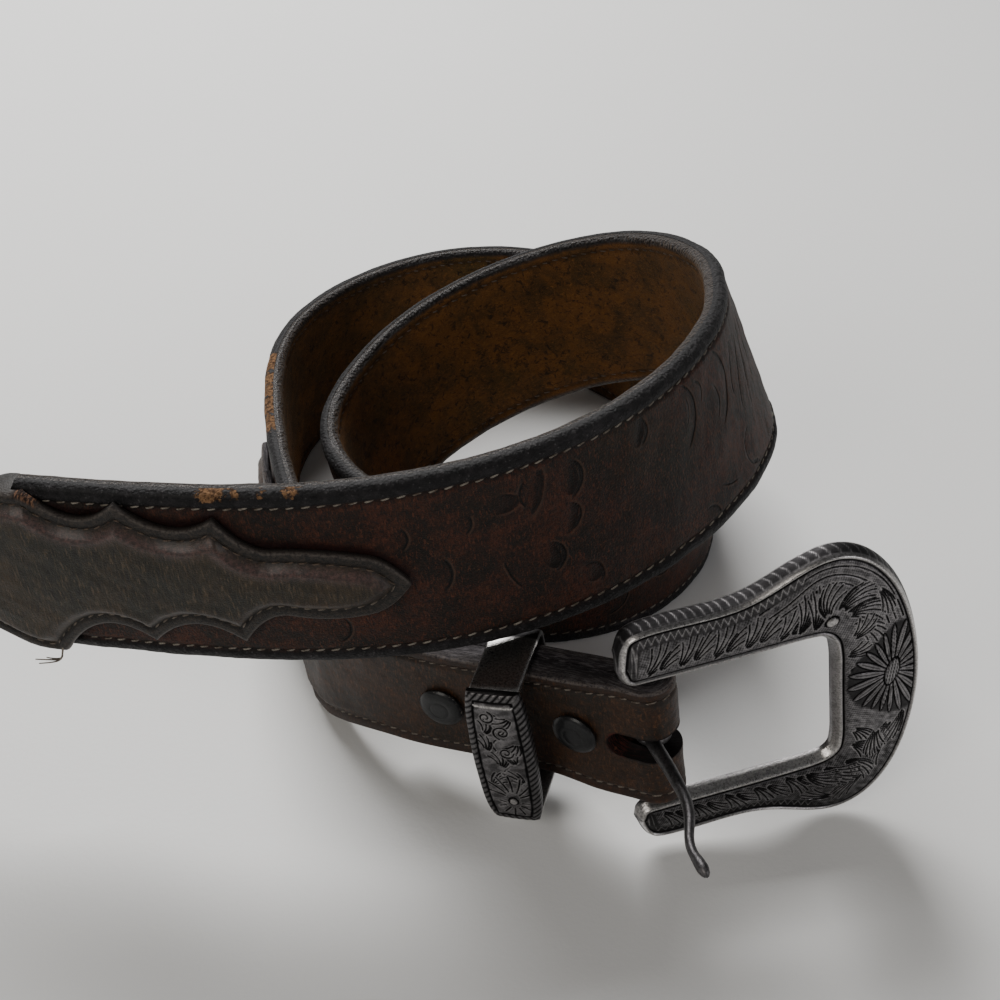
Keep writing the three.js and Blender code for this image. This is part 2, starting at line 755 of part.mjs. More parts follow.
// The bar stands in the fold, the buckle turns on the bar, and the prong turns with it
const fold = new THREE.Group();
fold.applyMatrix4(frameMatrix(barSeat.forward, barSeat.up, barSeat.outward, barCentre));
const buckle = new THREE.Group();
buckle.rotation.y = THREE.MathUtils.degToRad(buckleTurn);
buckle.add(piece('buckle_frame', buckleFrame(), silver));
const prong = piece('prong', buckleProng(), silver);
prong.rotation.y = -THREE.MathUtils.degToRad(prongTurn);
prong.position.y = prongShift;
buckle.add(prong);
fold.add(buckle);
belt.add(fold);

belt.position.set(-footprintMiddle.x, -footprintMiddle.y, 0);

export default belt;
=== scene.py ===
import math

import bpy
import numpy as np
from mathutils import Matrix, Vector


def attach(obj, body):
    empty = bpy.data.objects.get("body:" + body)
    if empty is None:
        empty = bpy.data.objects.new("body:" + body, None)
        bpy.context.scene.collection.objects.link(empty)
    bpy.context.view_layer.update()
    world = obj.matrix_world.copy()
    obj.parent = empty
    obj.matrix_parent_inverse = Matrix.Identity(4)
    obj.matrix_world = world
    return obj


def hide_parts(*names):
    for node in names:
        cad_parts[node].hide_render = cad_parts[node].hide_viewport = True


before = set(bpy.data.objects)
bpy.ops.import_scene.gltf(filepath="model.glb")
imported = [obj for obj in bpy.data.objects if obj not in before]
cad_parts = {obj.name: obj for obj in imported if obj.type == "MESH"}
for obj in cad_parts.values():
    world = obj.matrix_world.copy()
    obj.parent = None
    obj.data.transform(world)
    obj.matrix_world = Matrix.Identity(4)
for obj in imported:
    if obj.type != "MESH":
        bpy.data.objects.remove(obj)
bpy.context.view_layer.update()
millimetre = 0.001


# The camera stands in front of the belt and looks down on it. The picture's middle is a point
# on the table, and the lens takes in 36 mm of sensor as a square.
bpy.ops.object.select_all(action="DESELECT")
bpy.ops.object.camera_add(
    location=(0.0716, -0.23306, 0.2072), rotation=(math.radians(52.46), 0, 0)
)
camera = bpy.context.object
camera.name = "camera"
camera.data.lens = 49.4
camera.data.sensor_width = 36
camera.data.clip_start = 0.01
bpy.context.scene.camera = camera


# The table is a plain pale board. Soft boxes light the belt, a broad strong one from behind on
# the left that runs along the rims, and weak ones in front and on the right under a dim sky.
bpy.ops.object.select_all(action="DESELECT")
bpy.ops.mesh.primitive_plane_add(size=5, location=(0, 0, 0))
table = bpy.context.object
table.name = "table"

for name, place_of_box, aim, size, energy, tint in (
    ("box_behind", (-0.22, 0.8, 0.9), (0.02, 0, 0.03), 0.7, 25, (1, 0.99, 0.98)),
    ("box_in_front", (-0.55, -0.85, 0.75), (0.05, 0, 0.03), 0.6, 6, (1, 0.95, 0.88)),
    ("box_on_the_right", (0.85, -0.5, 0.42), (0.1, -0.05, 0.03), 0.35, 2, (1, 0.98, 1)),
):
    bpy.ops.object.light_add(type="AREA", location=place_of_box)
    box = bpy.context.object
    box.name = name
    box.data.shape = "SQUARE"
    box.data.size = size
    box.data.energy = energy
    box.data.color = tint
    box.rotation_mode = "QUATERNION"
    box.rotation_quaternion = (Vector(aim) - Vector(place_of_box)).to_track_quat("-Z", "Y")

sky = bpy.data.worlds.new("sky")
sky.use_nodes = True
sky.node_tree.nodes["Background"].inputs["Color"].default_value = (0.86, 0.87, 0.88, 1)
sky.node_tree.nodes["Background"].inputs["Strength"].default_value = 0.11
bpy.context.scene.world = sky


class Wiring:
    """What adds nodes to a material and links them."""

    def put(self, socket, value):
        if isinstance(value, Signal):
            self.tree.links.new(value.socket, socket)
        else:
            socket.default_value = value

    def node(self, kind, settings=(), values=(), output=0):
        """Adds any node, sets it and returns an output."""
        node = self.tree.nodes.new("ShaderNode" + kind)
        for name, value in dict(settings).items():
            setattr(node, name, value)
        for name, value in dict(values).items():
            self.put(node.inputs[name], value)
        return Signal(node.outputs[output])


class Signal(Wiring):
    """An output of a node, on which sums are written as on a number."""

    def __init__(self, socket):
        self.socket, self.tree = socket, socket.id_data

    def sum(self, operation, *values):
        return self.node("Math", {"operation": operation}, enumerate(values))

    def __add__(self, other):
        return self.sum("ADD", self, other)

    def __sub__(self, other):
        return self.sum("SUBTRACT", self, other)

    def __rsub__(self, other):
        return self.sum("SUBTRACT", other, self)

    def __mul__(self, other):
        return self.sum("MULTIPLY", self, other)

    def __abs__(self):
        return self.sum("ABSOLUTE", self)

    __radd__ = __add__
    __rmul__ = __mul__

    def between(self, low, high):
        """0 below low, 1 above high, and soft in between; low may be the larger one."""
        return self.node(
            "MapRange", {"interpolation_type": "SMOOTHSTEP"},
            {"Value": self, "From Min": low, "From Max": high},
        )

    def scaled(self, x, y, z=1):
        return self.node("Mapping", values={"Vector": self, "Scale": (x, y, z)})

    def cloud(self, scale, detail=3, roughness=0.55, distortion=0):
        values = {"Detail": detail, "Roughness": roughness, "Distortion": distortion}
        return self.node("TexNoise", values={"Vector": self, "Scale": scale, **values})

    def cells(self, scale, feature="F1"):
        return self.node("TexVoronoi", {"feature": feature}, {"Vector": self, "Scale": scale})


class Finish(Wiring):
    """A material. Constants are set when it is made, and signals go to its surface with show."""

    def __init__(self, name, constants=()):
        self.material = bpy.data.materials.new(name)
        self.material.use_nodes = True
        self.tree = self.material.node_tree
        self.surface = self.tree.nodes["Principled BSDF"]
        for socket, value in dict(constants).items():
            self.surface.inputs[socket].default_value = value

    def attribute(self, name, output="Fac"):
        return self.node("Attribute", {"attribute_name": name}, output=output)

    def show(self, **values):
        for name, value in values.items():
            self.put(self.surface.inputs[name.replace("_", " ")], value)


def dyed(amount, first, second):
    """The first colour with the second over it by the amount."""
    first, second = ((*c, 1) if isinstance(c, tuple) else c for c in (first, second))
    return amount.node("Mix", {"data_type": "RGBA"}, {0: amount, 6: first, 7: second}, 2)


def layered(colour, *layers):
    """A colour with others over it, each by its amount."""
    for amount, over in layers:
        colour = dyed(amount, colour, over)
    return colour


def raised(height):
    """A normal from a height in millimetres."""
    return height.node("Bump", values={"Strength": 1, "Distance": millimetre, "Height": height})


board = Finish("pale_board", {"Roughness": 0.62})
board_at = board.node("TexCoord", output=3)
board.show(
    Base_Color=dyed(board_at.cloud(4, 5), (0.68, 0.68, 0.67), (0.73, 0.73, 0.72)),
    Normal=raised(board_at.cloud(900, 2) * 0.05),
)
table.data.materials.append(board.material)


# The outer ply of the strap: one length of dark red-brown leather, 38 mm wide, tooled with
# petals and crescents, its edges rolled and dyed black, sewn to the lining all round.
route = (
    (-216, -24, 45, 3), (-175, -52.5, 47.5, 3), (-129, -73, 50, 3), (-81, -86, 52.7, 3),
    (-56.5, -90.7, 54.1, 2.4), (-31.7, -93.3, 55.7, 0.8), (-6.9, -91.5, 58, -2.2),
    (16.2, -82.9, 60.8, -6.6), (31.7, -70.4, 62.7, -11.5), (42.9, -54, 63.9, -17.9),
    (48.1, -34.8, 63.4, -23.1), (45.5, -15.4, 60.1, -20.8), (35.4, 0.6, 54.1, -12.1),
    (19.7, 10.2, 46.6, -3), (1.6, 11.8, 38.7, 5.5), (-15.6, 5.3, 31.2, 11.9),
    (-28.4, -8.5, 24.8, 14), (-32.9, -27.1, 20.9, 11.6), (-23.7, -43.1, 19.4, 7.4),
    (0.7, -50.9, 19.2, 3), (26.8, -45.3, 19, 0), (45.6, -25.1, 19, 0), (49.1, 4.6, 19, 0),
    (39.8, 33.2, 19, 0), (19.3, 55.1, 19, 0), (-6.6, 60.5, 19, 0), (-31.5, 49.1, 19, 0),
    (-50.7, 20.5, 19, 0), (-50.5, -14.1, 19, 0), (-44.2, -43.4, 19.2, -2),
    (-34.4, -66, 19.8, -2.4), (-22.2, -80.3, 21.2, 0), (-3, -89.5, 23.7, 2.6),
    (11.7, -96.1, 25.9, 3), (26.15, -104.6, 28.3, 3),
)
footprint_shift = np.array([71.6, 36.54, 0.0])
upper_scallops = (
    (64.3, -0.4, 0), (57.5, 6, -1.2), (42.5, 8.3, -0.6), (34.1, 15.1, 1.7), (18, 17.6, 3.5),
    (2, 19.2, 4.2),
)
lower_scallops = (
    (64.3, -1.2, 0), (57.5, -6.4, -1), (44.5, -6.1, -0.7), (35.2, -12.3, 2.3),
    (18.8, -13.3, 4.3), (0, -19.2, 6),
)
body_start, body_end, body_half = 152.5, 820.0, 19.0
face_thickness, face_groove = 2.15, 3.05


def segment_of(knots, at):
    return np.clip(np.searchsorted(knots, at, side="left") - 1, 0, len(knots) - 2)


def natural_spline(knots, values):
    """A curve through values at knots that bends as a thin steel strip does."""
    last = len(knots) - 1
    span = np.diff(knots)
    system = np.eye(last + 1)
    right = np.zeros(last + 1)
    for i in range(1, last):
        system[i, i - 1], system[i, i], system[i, i + 1] = (
            span[i - 1], 2 * (span[i - 1] + span[i]), span[i],
        )
        right[i] = 6 * (
            (values[i + 1] - values[i]) / span[i] - (values[i] - values[i - 1]) / span[i - 1]
        )
    bend = np.linalg.solve(system, right)

    def curve(at):
        i = segment_of(knots, at)
        b = (at - knots[i]) / span[i]
        a = 1 - b
        sway = (a**3 - a) * bend[i] + (b**3 - b) * bend[i + 1]
        return a * values[i] + b * values[i + 1] + sway * span[i] ** 2 / 6

    return curve


def steady_curve(knots, values):
    """A curve through values at knots that never swings past them."""
    span = np.diff(knots)
    slope = np.diff(values) / span
    tangent = np.r_[slope[0], slope]
    for i in range(1, len(slope)):
        product = slope[i - 1] * slope[i]
        tangent[i] = 0 if product <= 0 else 2 * product / (slope[i - 1] + slope[i])

    def curve(at):
        i = segment_of(knots, at)
        t = (at - knots[i]) / span[i]
        rise = values[i + 1] - values[i]
        start, end = tangent[i] * span[i], tangent[i + 1] * span[i]
        bow = (3 * rise - 2 * start - end) * t * t + (start + end - 2 * rise) * t**3
        return values[i] + start * t + bow

    return curve


def unit(vectors):
    return vectors / np.maximum(np.linalg.norm(vectors, axis=-1, keepdims=True), 1e-9)


def run_along(points):
    """The way walked along a line to each of its points."""
    return np.r_[0, np.cumsum(np.linalg.norm(np.diff(points, axis=0), axis=1))]


route_table = np.array(route, float)
route_knots = run_along(route_table[:, :3])
route_x = natural_spline(route_knots, route_table[:, 0])
route_y = natural_spline(route_knots, route_table[:, 1])
route_height = steady_curve(route_knots, route_table[:, 2])
route_lean = steady_curve(route_knots, route_table[:, 3])


def route_point(knot):
    return np.stack([route_x(knot), route_y(knot), route_height(knot)], -1)


fine_knots = np.r_[np.arange(0, route_knots[-1], 1.0), route_knots[-1]]
fine_along = run_along(route_point(fine_knots))
belt_length = fine_along[-1]


def belt_frame(along):
    """The point on the belt's centre line, and forward, up and outward there."""
    knot = np.interp(np.asarray(along, float), fine_along, fine_knots)
    point = route_point(knot) + footprint_shift
    forward = unit(route_point(knot + 0.5) - route_point(knot - 0.5))
    up = unit(np.array([0, 0, 1.0]) - forward * forward[..., 2:3])
    lean = np.radians(route_lean(knot))[..., None]
    up = up * np.cos(lean) + np.cross(forward, up) * np.sin(lean)
    return point, forward, up, np.cross(forward, up)


def on_belt(along, rise, depth):
    point, forward, up, outward = belt_frame(along)
    return point + up * np.asarray(rise)[..., None] + outward * np.asarray(depth)[..., None]


def soft_step(low, high, at):
    t = np.clip((at - low) / (high - low), 0, 1)
    return t * t * (3 - 2 * t)


def ridge(way, middle, width):
    """1 on a line, falling away softly on both sides of it."""
    return np.exp(-(((way - middle) / width) ** 2))


def by_rows(values, columns):
    return np.repeat(values[:, None], columns, 1)


def formed(name, points, values=(), close_ends=True):
    """A surface through rows of points, in millimetres: a grid is added, its vertices go to the
    points, rows that meet are merged and open ends are filled. Values are kept as attributes."""
    rows, columns = points.shape[:2]
    bpy.ops.object.select_all(action="DESELECT")
    bpy.ops.mesh.primitive_grid_add(x_subdivisions=rows - 1, y_subdivisions=columns - 1, size=2)
    piece = bpy.context.object
    piece.name = name
    mesh = piece.data
    mesh.name = name
    while mesh.uv_layers:
        mesh.uv_layers.remove(mesh.uv_layers[0])
    grid = np.empty(len(mesh.vertices) * 3)
    mesh.vertices.foreach_get("co", grid)
    grid = grid.reshape(-1, 3)
    i = np.rint((grid[:, 0] + 1) / 2 * (rows - 1)).astype(int)
    j = np.rint((grid[:, 1] + 1) / 2 * (columns - 1)).astype(int)
    mesh.vertices.foreach_set("co", (points[i, j] * millimetre).ravel())
    for label, value in dict(values).items():
        keep(piece, label, value[i, j])
    bpy.ops.object.mode_set(mode="EDIT")
    bpy.ops.mesh.select_all(action="SELECT")
    bpy.ops.mesh.remove_doubles(threshold=2e-6)
    if close_ends:
        bpy.ops.mesh.select_all(action="DESELECT")
        bpy.ops.mesh.select_mode(type="EDGE")
        bpy.ops.mesh.select_non_manifold()
        bpy.ops.mesh.fill_holes(sides=0)
    bpy.ops.mesh.select_all(action="SELECT")
    bpy.ops.mesh.normals_make_consistent(inside=False)
    bpy.ops.object.mode_set(mode="OBJECT")
    return piece


def keep(piece, label, value):
    """An attribute on each vertex: a number or a vector."""
    value = np.asarray(value, float)
    kind = "FLOAT_VECTOR" if value.ndim == 2 else "FLOAT"
    layer = piece.data.attributes.get(label) or piece.data.attributes.new(label, kind, "POINT")
    layer.data.foreach_set("vector" if value.ndim == 2 else "value", value.ravel())


def corners(piece):
    """The piece's vertices in millimetres."""
    points = np.empty(len(piece.data.vertices) * 3)
    piece.data.vertices.foreach_get("co", points)
    return points.reshape(-1, 3) / millimetre


def reshape(piece, points):
    piece.data.vertices.foreach_set("co", (points * millimetre).ravel())
    piece.data.update()


def select(*pieces):
    """Selects only these pieces, the first one as the active one."""
    bpy.ops.object.select_all(action="DESELECT")
    for piece in pieces:
        piece.select_set(True)
    bpy.context.view_layer.objects.active = pieces[0]


def finished(piece, finish, corner=50):
    """Smooths a piece up to corners of so many degrees and puts its finish on."""
    select(piece)
    bpy.ops.object.shade_smooth_by_angle(angle=math.radians(corner))
    piece.data.materials.append(finish.material)


# From the edge inwards: close rows over the rolled edge, the stitch groove and the shoulder
edge_steps = np.array(
    [0, 0.12, 0.3, 0.55, 0.9, 1.3, 1.75, 2.05, 2.3, 2.55, 2.85, 3.15, 3.5, 3.9, 4.3, 4.7, 5.2]
)


def across(lower, upper, middle_rows):
    """Rises of the front rows of a section from its lower to its upper edge."""
    half = (upper - lower) / 2
    near = edge_steps * min(1.0, half / 5.6)
    middle = np.linspace(near[-1], 2 * half - near[-1], middle_rows + 2)[1:-1]
    return lower + np.r_[near, middle, 2 * half - near[::-1]]


def round_section(along, rise, front, back=0.0, inset=0.25):
    """Station, rise and depth of rows round the section: the middle of the back, its lower
    corner, the front, its upper corner and the middle of the back again."""
    middle = (rise[:, :1] + rise[:, -1:]) / 2
    back = back + np.zeros(middle.shape)
    lower, upper = rise[:, :1] + inset, rise[:, -1:] - inset
    around = np.hstack([middle, lower, rise[:, :1], rise, rise[:, -1:], upper, middle])
    low_wall = back + (front[:, :1] - back) * 0.3
    high_wall = back + (front[:, -1:] - back) * 0.3
    depth = np.hstack([back, back, low_wall, front, high_wall, back, back])
    return by_rows(along, around.shape[1]), around, depth


def ply_rows(along, half, columns):
    """Rise and station of the rows of a ply's front, and the way inwards from its edges."""
    rise = np.tile(across(-half, half, columns), (len(along), 1))
    return rise, by_rows(along, rise.shape[1]), half - abs(rise)


def steps(start, end, size):
    return np.linspace(start, end, max(1, round(abs(end - start) / size)) + 1)


def distance_to_line(at, line):
    """From each point to the nearest place on an open line."""
    start, end = line[:-1], line[1:]
    run = end - start
    length = np.maximum((run**2).sum(1), 1e-9)
    result = np.full(len(at), 1e9)
    for chunk in range(0, len(at), 4000):
        offset = at[chunk:chunk + 4000, None] - start[None]
        share = np.clip((offset * run[None]).sum(2) / length, 0, 1)
        gap = offset - share[..., None] * run[None]
        result[chunk:chunk + 4000] = np.sqrt((gap**2).sum(2).min(1))
    return result


def distance_to_lines(x, y, lines):
    """From each place of a grid to the nearest of some lines."""
    places = np.stack([x.ravel(), y.ravel()], 1)
    return np.min([distance_to_line(places, line) for line in lines], 0).reshape(x.shape)


def scallop_edge(rows, reach):
    """The rise of a scalloped edge at a reach, which is measured from the body's cut end."""
    table = np.array(rows, float)
    reach = np.asarray(reach, float)
    i = np.clip(np.searchsorted(-table[:, 0], -reach, side="left"), 1, len(table) - 1)
    start, end = table[i - 1], table[i]
    t = np.clip((start[..., 0] - reach) / (start[..., 0] - end[..., 0]), 0, 1)
    straight = start[..., 1] + (end[..., 1] - start[..., 1]) * t
    side = np.sign(start[..., 1] + end[..., 1])
    return straight - side * end[..., 2] * 4 * t * (1 - t)


def scallop_reaches(size):
    """Reaches along an overlay that take in each point of its two edges."""
    stops = sorted({row[0] for row in upper_scallops + lower_scallops}, reverse=True)
    runs = [steps(a, b, size)[:-1] for a, b in zip(stops, stops[1:]) if a - b > 0.05]
    return np.r_[np.concatenate(runs), stops[-1]]


def overlay_lines(reach_to_along, size=0.35):
    """The two edges of an overlay as lines of along and rise, from the tip to the cut end."""
    reach = scallop_reaches(size)
    return [
        np.stack([reach_to_along(reach), scallop_edge(rows, reach)], 1)
        for rows in (upper_scallops, lower_scallops)
    ]


tip_lines = overlay_lines(lambda reach: body_start + reach)
buckle_lines = overlay_lines(lambda reach: body_end - reach)

# Tool marks. Arcs pass through three places (along, rise) and are bevelled on their hollow
# side; petals are pressed hollows with a place, half length, half width and turn.
arcs = [
    (222.5, 2, 223.7, -1.5, 222, -5, 0.45, 2.2), (246.3, 14, 248.2, 10.2, 245.5, 6.5, 0.55, 2.6),
    (245, 5.8, 247, 2.6, 244, 0.2, 0.5, 1.8), (240.6, -0.6, 243.2, -3.6, 241.8, -6.8, 0.5, 2.2),
    (246, -8.4, 249.2, -9.6, 249.2, -13.4, 0.5, 2), (260, 15, 262.4, 12.6, 261.3, 10, 0.5, 2),
    (270.8, 16, 275.6, 9.5, 271, 2, 0.6, 3), (273, 12.2, 273.5, 9.5, 271.6, 6.6, 0.3, 0.8),
    (276.2, 13.8, 278.2, 11.6, 277.4, 8.6, 0.35, 0.8), (282.5, 16.2, 288, 8.5, 284.8, 1.2, 0.6, 3),
    (282.4, 9.4, 283.8, 6, 281.6, 2.2, 0.35, 0.8),
    (292.2, -5.6, 289.8, -10.6, 295.4, -14.2, 0.45, 1.4),
    (291, -13.4, 294, -14.6, 294.2, -17.4, 0.4, 1.2),
    (274.4, -12.4, 277, -13.6, 277.3, -16.8, 0.45, 1.4),
    (279.4, -10.2, 281.6, -11.6, 283.6, -12.2, 0.35, 0.5),
    (204.6, -8.4, 205.4, -11.5, 203, -13.9, 0.45, 1.5),
    (227.8, 9.6, 228, 7.6, 226.2, 5.8, 0.3, 0.8), (232.6, -1.4, 233.4, -5, 235.4, -8.6, 0.35, 0.7),
    (238, 13.2, 236.8, 10.4, 238.2, 7.8, 0.35, 0.7),
    (298.5, 11.5, 294.6, 5.4, 292.2, -1.6, 0.35, 0.8), (293.6, 12.6, 291, 7.8, 289.9, 2, 0.3, 0.7),
    (303, 12, 299.2, 4, 297.4, -3.6, 0.35, 0.8), (308, 13.6, 304.6, 6, 303.4, -1, 0.3, 0.8),
    (216.4, 9.6, 217.4, 7.4, 216, 5.2, 0.25, 0.8),
]
petals = [
    (233.6, 10.2, 2.7, 1.7, -6), (239.5, 10.4, 3.7, 1.2, 72), (245.7, 10.3, 2.7, 1.5, 92),
    (244.9, 2.6, 2.5, 1.4, 74), (240.6, -3.4, 2.8, 1.4, -68), (247.7, -10.2, 2.2, 1.7, -50),
    (260.2, 12.8, 2.6, 1.4, 80),
]
# The same few tools go on round the rest of the strap
tool_places = np.random.default_rng(7)
first_flower, last_flower, flower_pitch = 318.0, 752.0, 27.0
for flower in np.arange(first_flower, last_flower, flower_pitch):
    lift = tool_places.uniform(-2.5, 2.5)
    for k in range(5):
        turn = math.radians(36 + 72 * k + tool_places.uniform(-12, 12))
        middle = np.array([flower + 6.5 * math.cos(turn), lift + 6.5 * math.sin(turn)])
        side = np.array([-math.sin(turn), math.cos(turn)])
        out = np.array([math.cos(turn), math.sin(turn)])
        horns = middle + side * 3.0 - out * 0.8, middle - side * 3.0 - out * 0.8
        arcs.append((*horns[0], *(middle + out * 1.5), *horns[1], 0.5, 2.2))
        petals.append((*(middle - out * 0.9), 2.5, 1.3, math.degrees(turn) + 90))
    for side in (-1, 1):
        stem = flower + flower_pitch / 2
        arcs.append((
            stem - 3, side * 12.5, stem + 1.5, side * 9.0, stem - 1.5, side * 3.6, 0.4, 1.6,
        ))


def tooling(along, rise):
    """Depth pressed into the leather, how dark the dye lies in it, the way to the nearest cut
    line and how deep that line is there."""
    depth = np.zeros(along.shape)
    dark = np.zeros(along.shape)
    gap = np.full(along.shape, 2.0)
    cut = np.zeros(along.shape)

    def line_at(near, way, strength):
        known, deep = gap[near], cut[near]
        closer = (abs(way) < abs(known)) & (strength > 0.02)
        known[closer] = way[closer]
        deep[closer] = (strength * (1 - soft_step(1.2, 1.9, abs(way))))[closer]
        gap[near], cut[near] = known, deep

    for *places, press, bevel in arcs:
        a, b, c = np.reshape(places, (3, 2))
        turn = np.array([2 * (b - a), 2 * (c - a)])
        centre = np.linalg.solve(turn, np.array([b @ b - a @ a, c @ c - a @ a]))
        radius = np.linalg.norm(a - centre)
        near = np.hypot(along - b[0], rise - b[1]) < 14
        x, y = along[near] - centre[0], rise[near] - centre[1]
        face = np.arctan2(*(b - centre)[::-1])
        reach = abs((np.arctan2(*(a - centre)[::-1]) - face + np.pi) % (2 * np.pi) - np.pi)
        angle = abs((np.arctan2(y, x) - face + np.pi) % (2 * np.pi) - np.pi)
        fade = 1 - soft_step(reach * 0.72, reach * 1.06, angle)
        inward = radius - np.hypot(x, y)
        bevelled = np.exp(-np.maximum(inward, 0) / (bevel * 0.5))
        hollow = np.where(inward > 0, bevelled, ridge(inward, 0, 0.3))
        depth[near] = np.maximum(depth[near], 0.4 * press * hollow * fade)
        dark[near] = np.maximum(dark[near], 0.5 * hollow * fade)
        line_at(near, inward, fade)
    for x0, y0, length, width, turn in petals:
        near = np.hypot(along - x0, rise - y0) < length * 1.6
        cos, sin = math.cos(math.radians(turn)), math.sin(math.radians(turn))
        x, y = along[near] - x0, rise[near] - y0
        around = np.hypot((x * cos + y * sin) / length, (y * cos - x * sin) / width)
        inside = 1 - soft_step(0.75, 1.08, around)
        far_side = 0.2 + 0.8 * soft_step(-0.7, 0.6, (x - 0.25 * y) / width)
        depth[near] = np.maximum(depth[near], 0.34 * inside * far_side)
        dark[near] = np.maximum(dark[near], 0.8 * inside * far_side)
        line_at(near, (1 - around) * width, np.where(around < 1.8, 0.75 * far_side, 0))
    return depth, dark, gap, cut


def wave(x, y, seed, size, count=14):
    """A gentle seeded unevenness between about -1 and 1."""
    rng = np.random.default_rng(seed)
    result = np.zeros(np.shape(x))
    for _ in range(count):
        turn, phase = rng.uniform(0, 2 * math.pi, 2)
        length = size * rng.uniform(0.6, 1.8)
        result = result + np.sin(
            (x * math.cos(turn) + y * math.sin(turn)) * 2 * math.pi / length + phase
        )
    return result / math.sqrt(count)


def rolled_edge(inward, radius, drop):
    t = np.clip(1 - inward / radius, 0, 1)
    return drop * (1 - np.sqrt(1 - t * t))


face_along = np.r_[
    steps(body_start, 200, 0.7), steps(200, 332, 0.42)[1:], steps(332, body_end, 1.15)[1:],
]
face_rise, station, inward = ply_rows(face_along, body_half, 56)
pressed = tooling(station, face_rise)[0]
face_front = (
    face_thickness
    - rolled_edge(inward, 2.0, 1.5)
    - 0.45 * ridge(inward, face_groove, 0.45)
    - 0.18 * soft_step(2.6, 3.6, inward)
    - pressed * soft_step(3.4, 4.6, inward)
    + 0.07 * wave(station, face_rise, 3, 9)
    + 0.03 * wave(station, face_rise, 4, 2.6)
)
face_front = np.minimum(face_front, 2.3)
face_station, face_rise_round, face_depth = round_section(
    face_along, face_rise, face_front, inset=0.02
)
inward = body_half - abs(face_rise_round)
front_side = soft_step(0.2, 0.9, face_depth)
_, pressed_dark, cut_gap, cut_deep = tooling(face_station, face_rise_round)
cut_deep = cut_deep * soft_step(3.6, 4.6, inward)
flat_places = np.stack([face_station.ravel(), face_rise_round.ravel()], 1)
# The way to the overlays' edges, for the dark red band round them: burnish and a painted shadow of
# their edges
near_overlay = np.full(len(flat_places), 50.0)
for line in tip_lines + buckle_lines:
    close = abs(flat_places[:, 0] - line[:, 0].mean()) < 45
    near_overlay[close] = np.minimum(
        near_overlay[close], distance_to_line(flat_places[close], line)
    )
near_overlay = near_overlay.reshape(face_station.shape)
worn = np.zeros(face_station.shape)
for at, size, strength, low in (
    (186.6, 2.5, 1.0, 1.0), (190.4, 1.5, 0.6, 0.7), (195.0, 1.0, 0.6, 0.9), (199.8, 2.0, 0.7, 0.8),
    (745.6, 1.6, 0.95, 2.4), (749.4, 2.6, 1.0, 3.2), (755.0, 2.6, 0.9, 2.2),
    (760.0, 2.6, 1.0, 3.0), (766.0, 4.0, 1.0, 2.0), (773.0, 4.0, 0.85, 1.4),
):
    spot = ((face_station - at) / size) ** 2 + (np.maximum(inward - 0.5, 0) / low) ** 2
    worn = np.maximum(worn, strength * np.exp(-spot) * (face_rise_round > 10))
strap_face = formed(
    "strap_outer_ply",
    on_belt(face_station, face_rise_round, face_depth),
    {
        "flat": np.stack([face_station, face_rise_round, face_depth], -1),
        "rim": 1 - soft_step(2.5, 3.1, inward),
        "mark": pressed_dark * front_side * soft_step(3.4, 4.6, inward),
        "gap": cut_gap,
        "cut": cut_deep * front_side,
        "groove": ridge(inward, face_groove, 0.42) * front_side,
        "burnish_and_shadow": (1 - soft_step(0.1, 1.5, near_overlay)) * front_side,
        "worn": worn,
    },
)


def edge_black(at, rim, colour):
    """The black edge dye over a colour, with pale specks painted on the pebble tops as glints, and
    the pebbled height that it leaves.
    """
    lumps = at.cells(1.45)
    grit = at.cloud(2.4, 3, 0.7)
    smudge = at.cloud(0.6, 4, 0.7)
    dye = layered(
        dyed(smudge.between(0.42, 0.7), (0.004, 0.0036, 0.0042), (0.015, 0.0132, 0.0145)),
        # Pale grey specks on the pebble tops are painted glints
        (lumps.between(0.3, 0.08) * smudge.between(0.4, 0.58) * 0.45, (0.1, 0.095, 0.095)),
    )
    return dyed(rim, colour, dye), rim * (lumps * -0.42 + grit * 0.12)


# The finish of this leather: grain, mottling, dark dye in the marks, worn-through spots and a dark
# red band round the overlays, burnished and partly a painted shadow of their edges
strap_leather = Finish(
    "strap_leather", {"Coat Roughness": 0.3, "Coat IOR": 1.45, "Specular IOR Level": 0.22}
)
flat = strap_leather.attribute("flat", "Vector")
patches = flat.cloud(0.11, 5, 0.62, 0.4)
broad = flat.cloud(0.032, 3, 0.5)
speckle = flat.cloud(1.25, 4, 0.75)
pores = flat.cells(1.6, "DISTANCE_TO_EDGE")
fibre = flat.scaled(2.9, 0.9).cloud(1, 4, 0.72, 0.9)
crease = flat.scaled(0.9, 0.25).cloud(1, 6, 0.7, 1.2)
rim = strap_leather.attribute("rim")
mark = strap_leather.attribute("mark")
gap = strap_leather.attribute("gap")
cut_depth = strap_leather.attribute("cut")
cut = abs(gap).between(0.24, 0.07) * cut_depth
lip = gap.between(-0.75, -0.42) * gap.between(-0.18, -0.32) * cut_depth
black, tan = (0.0025, 0.002, 0.002), (0.17, 0.075, 0.034)
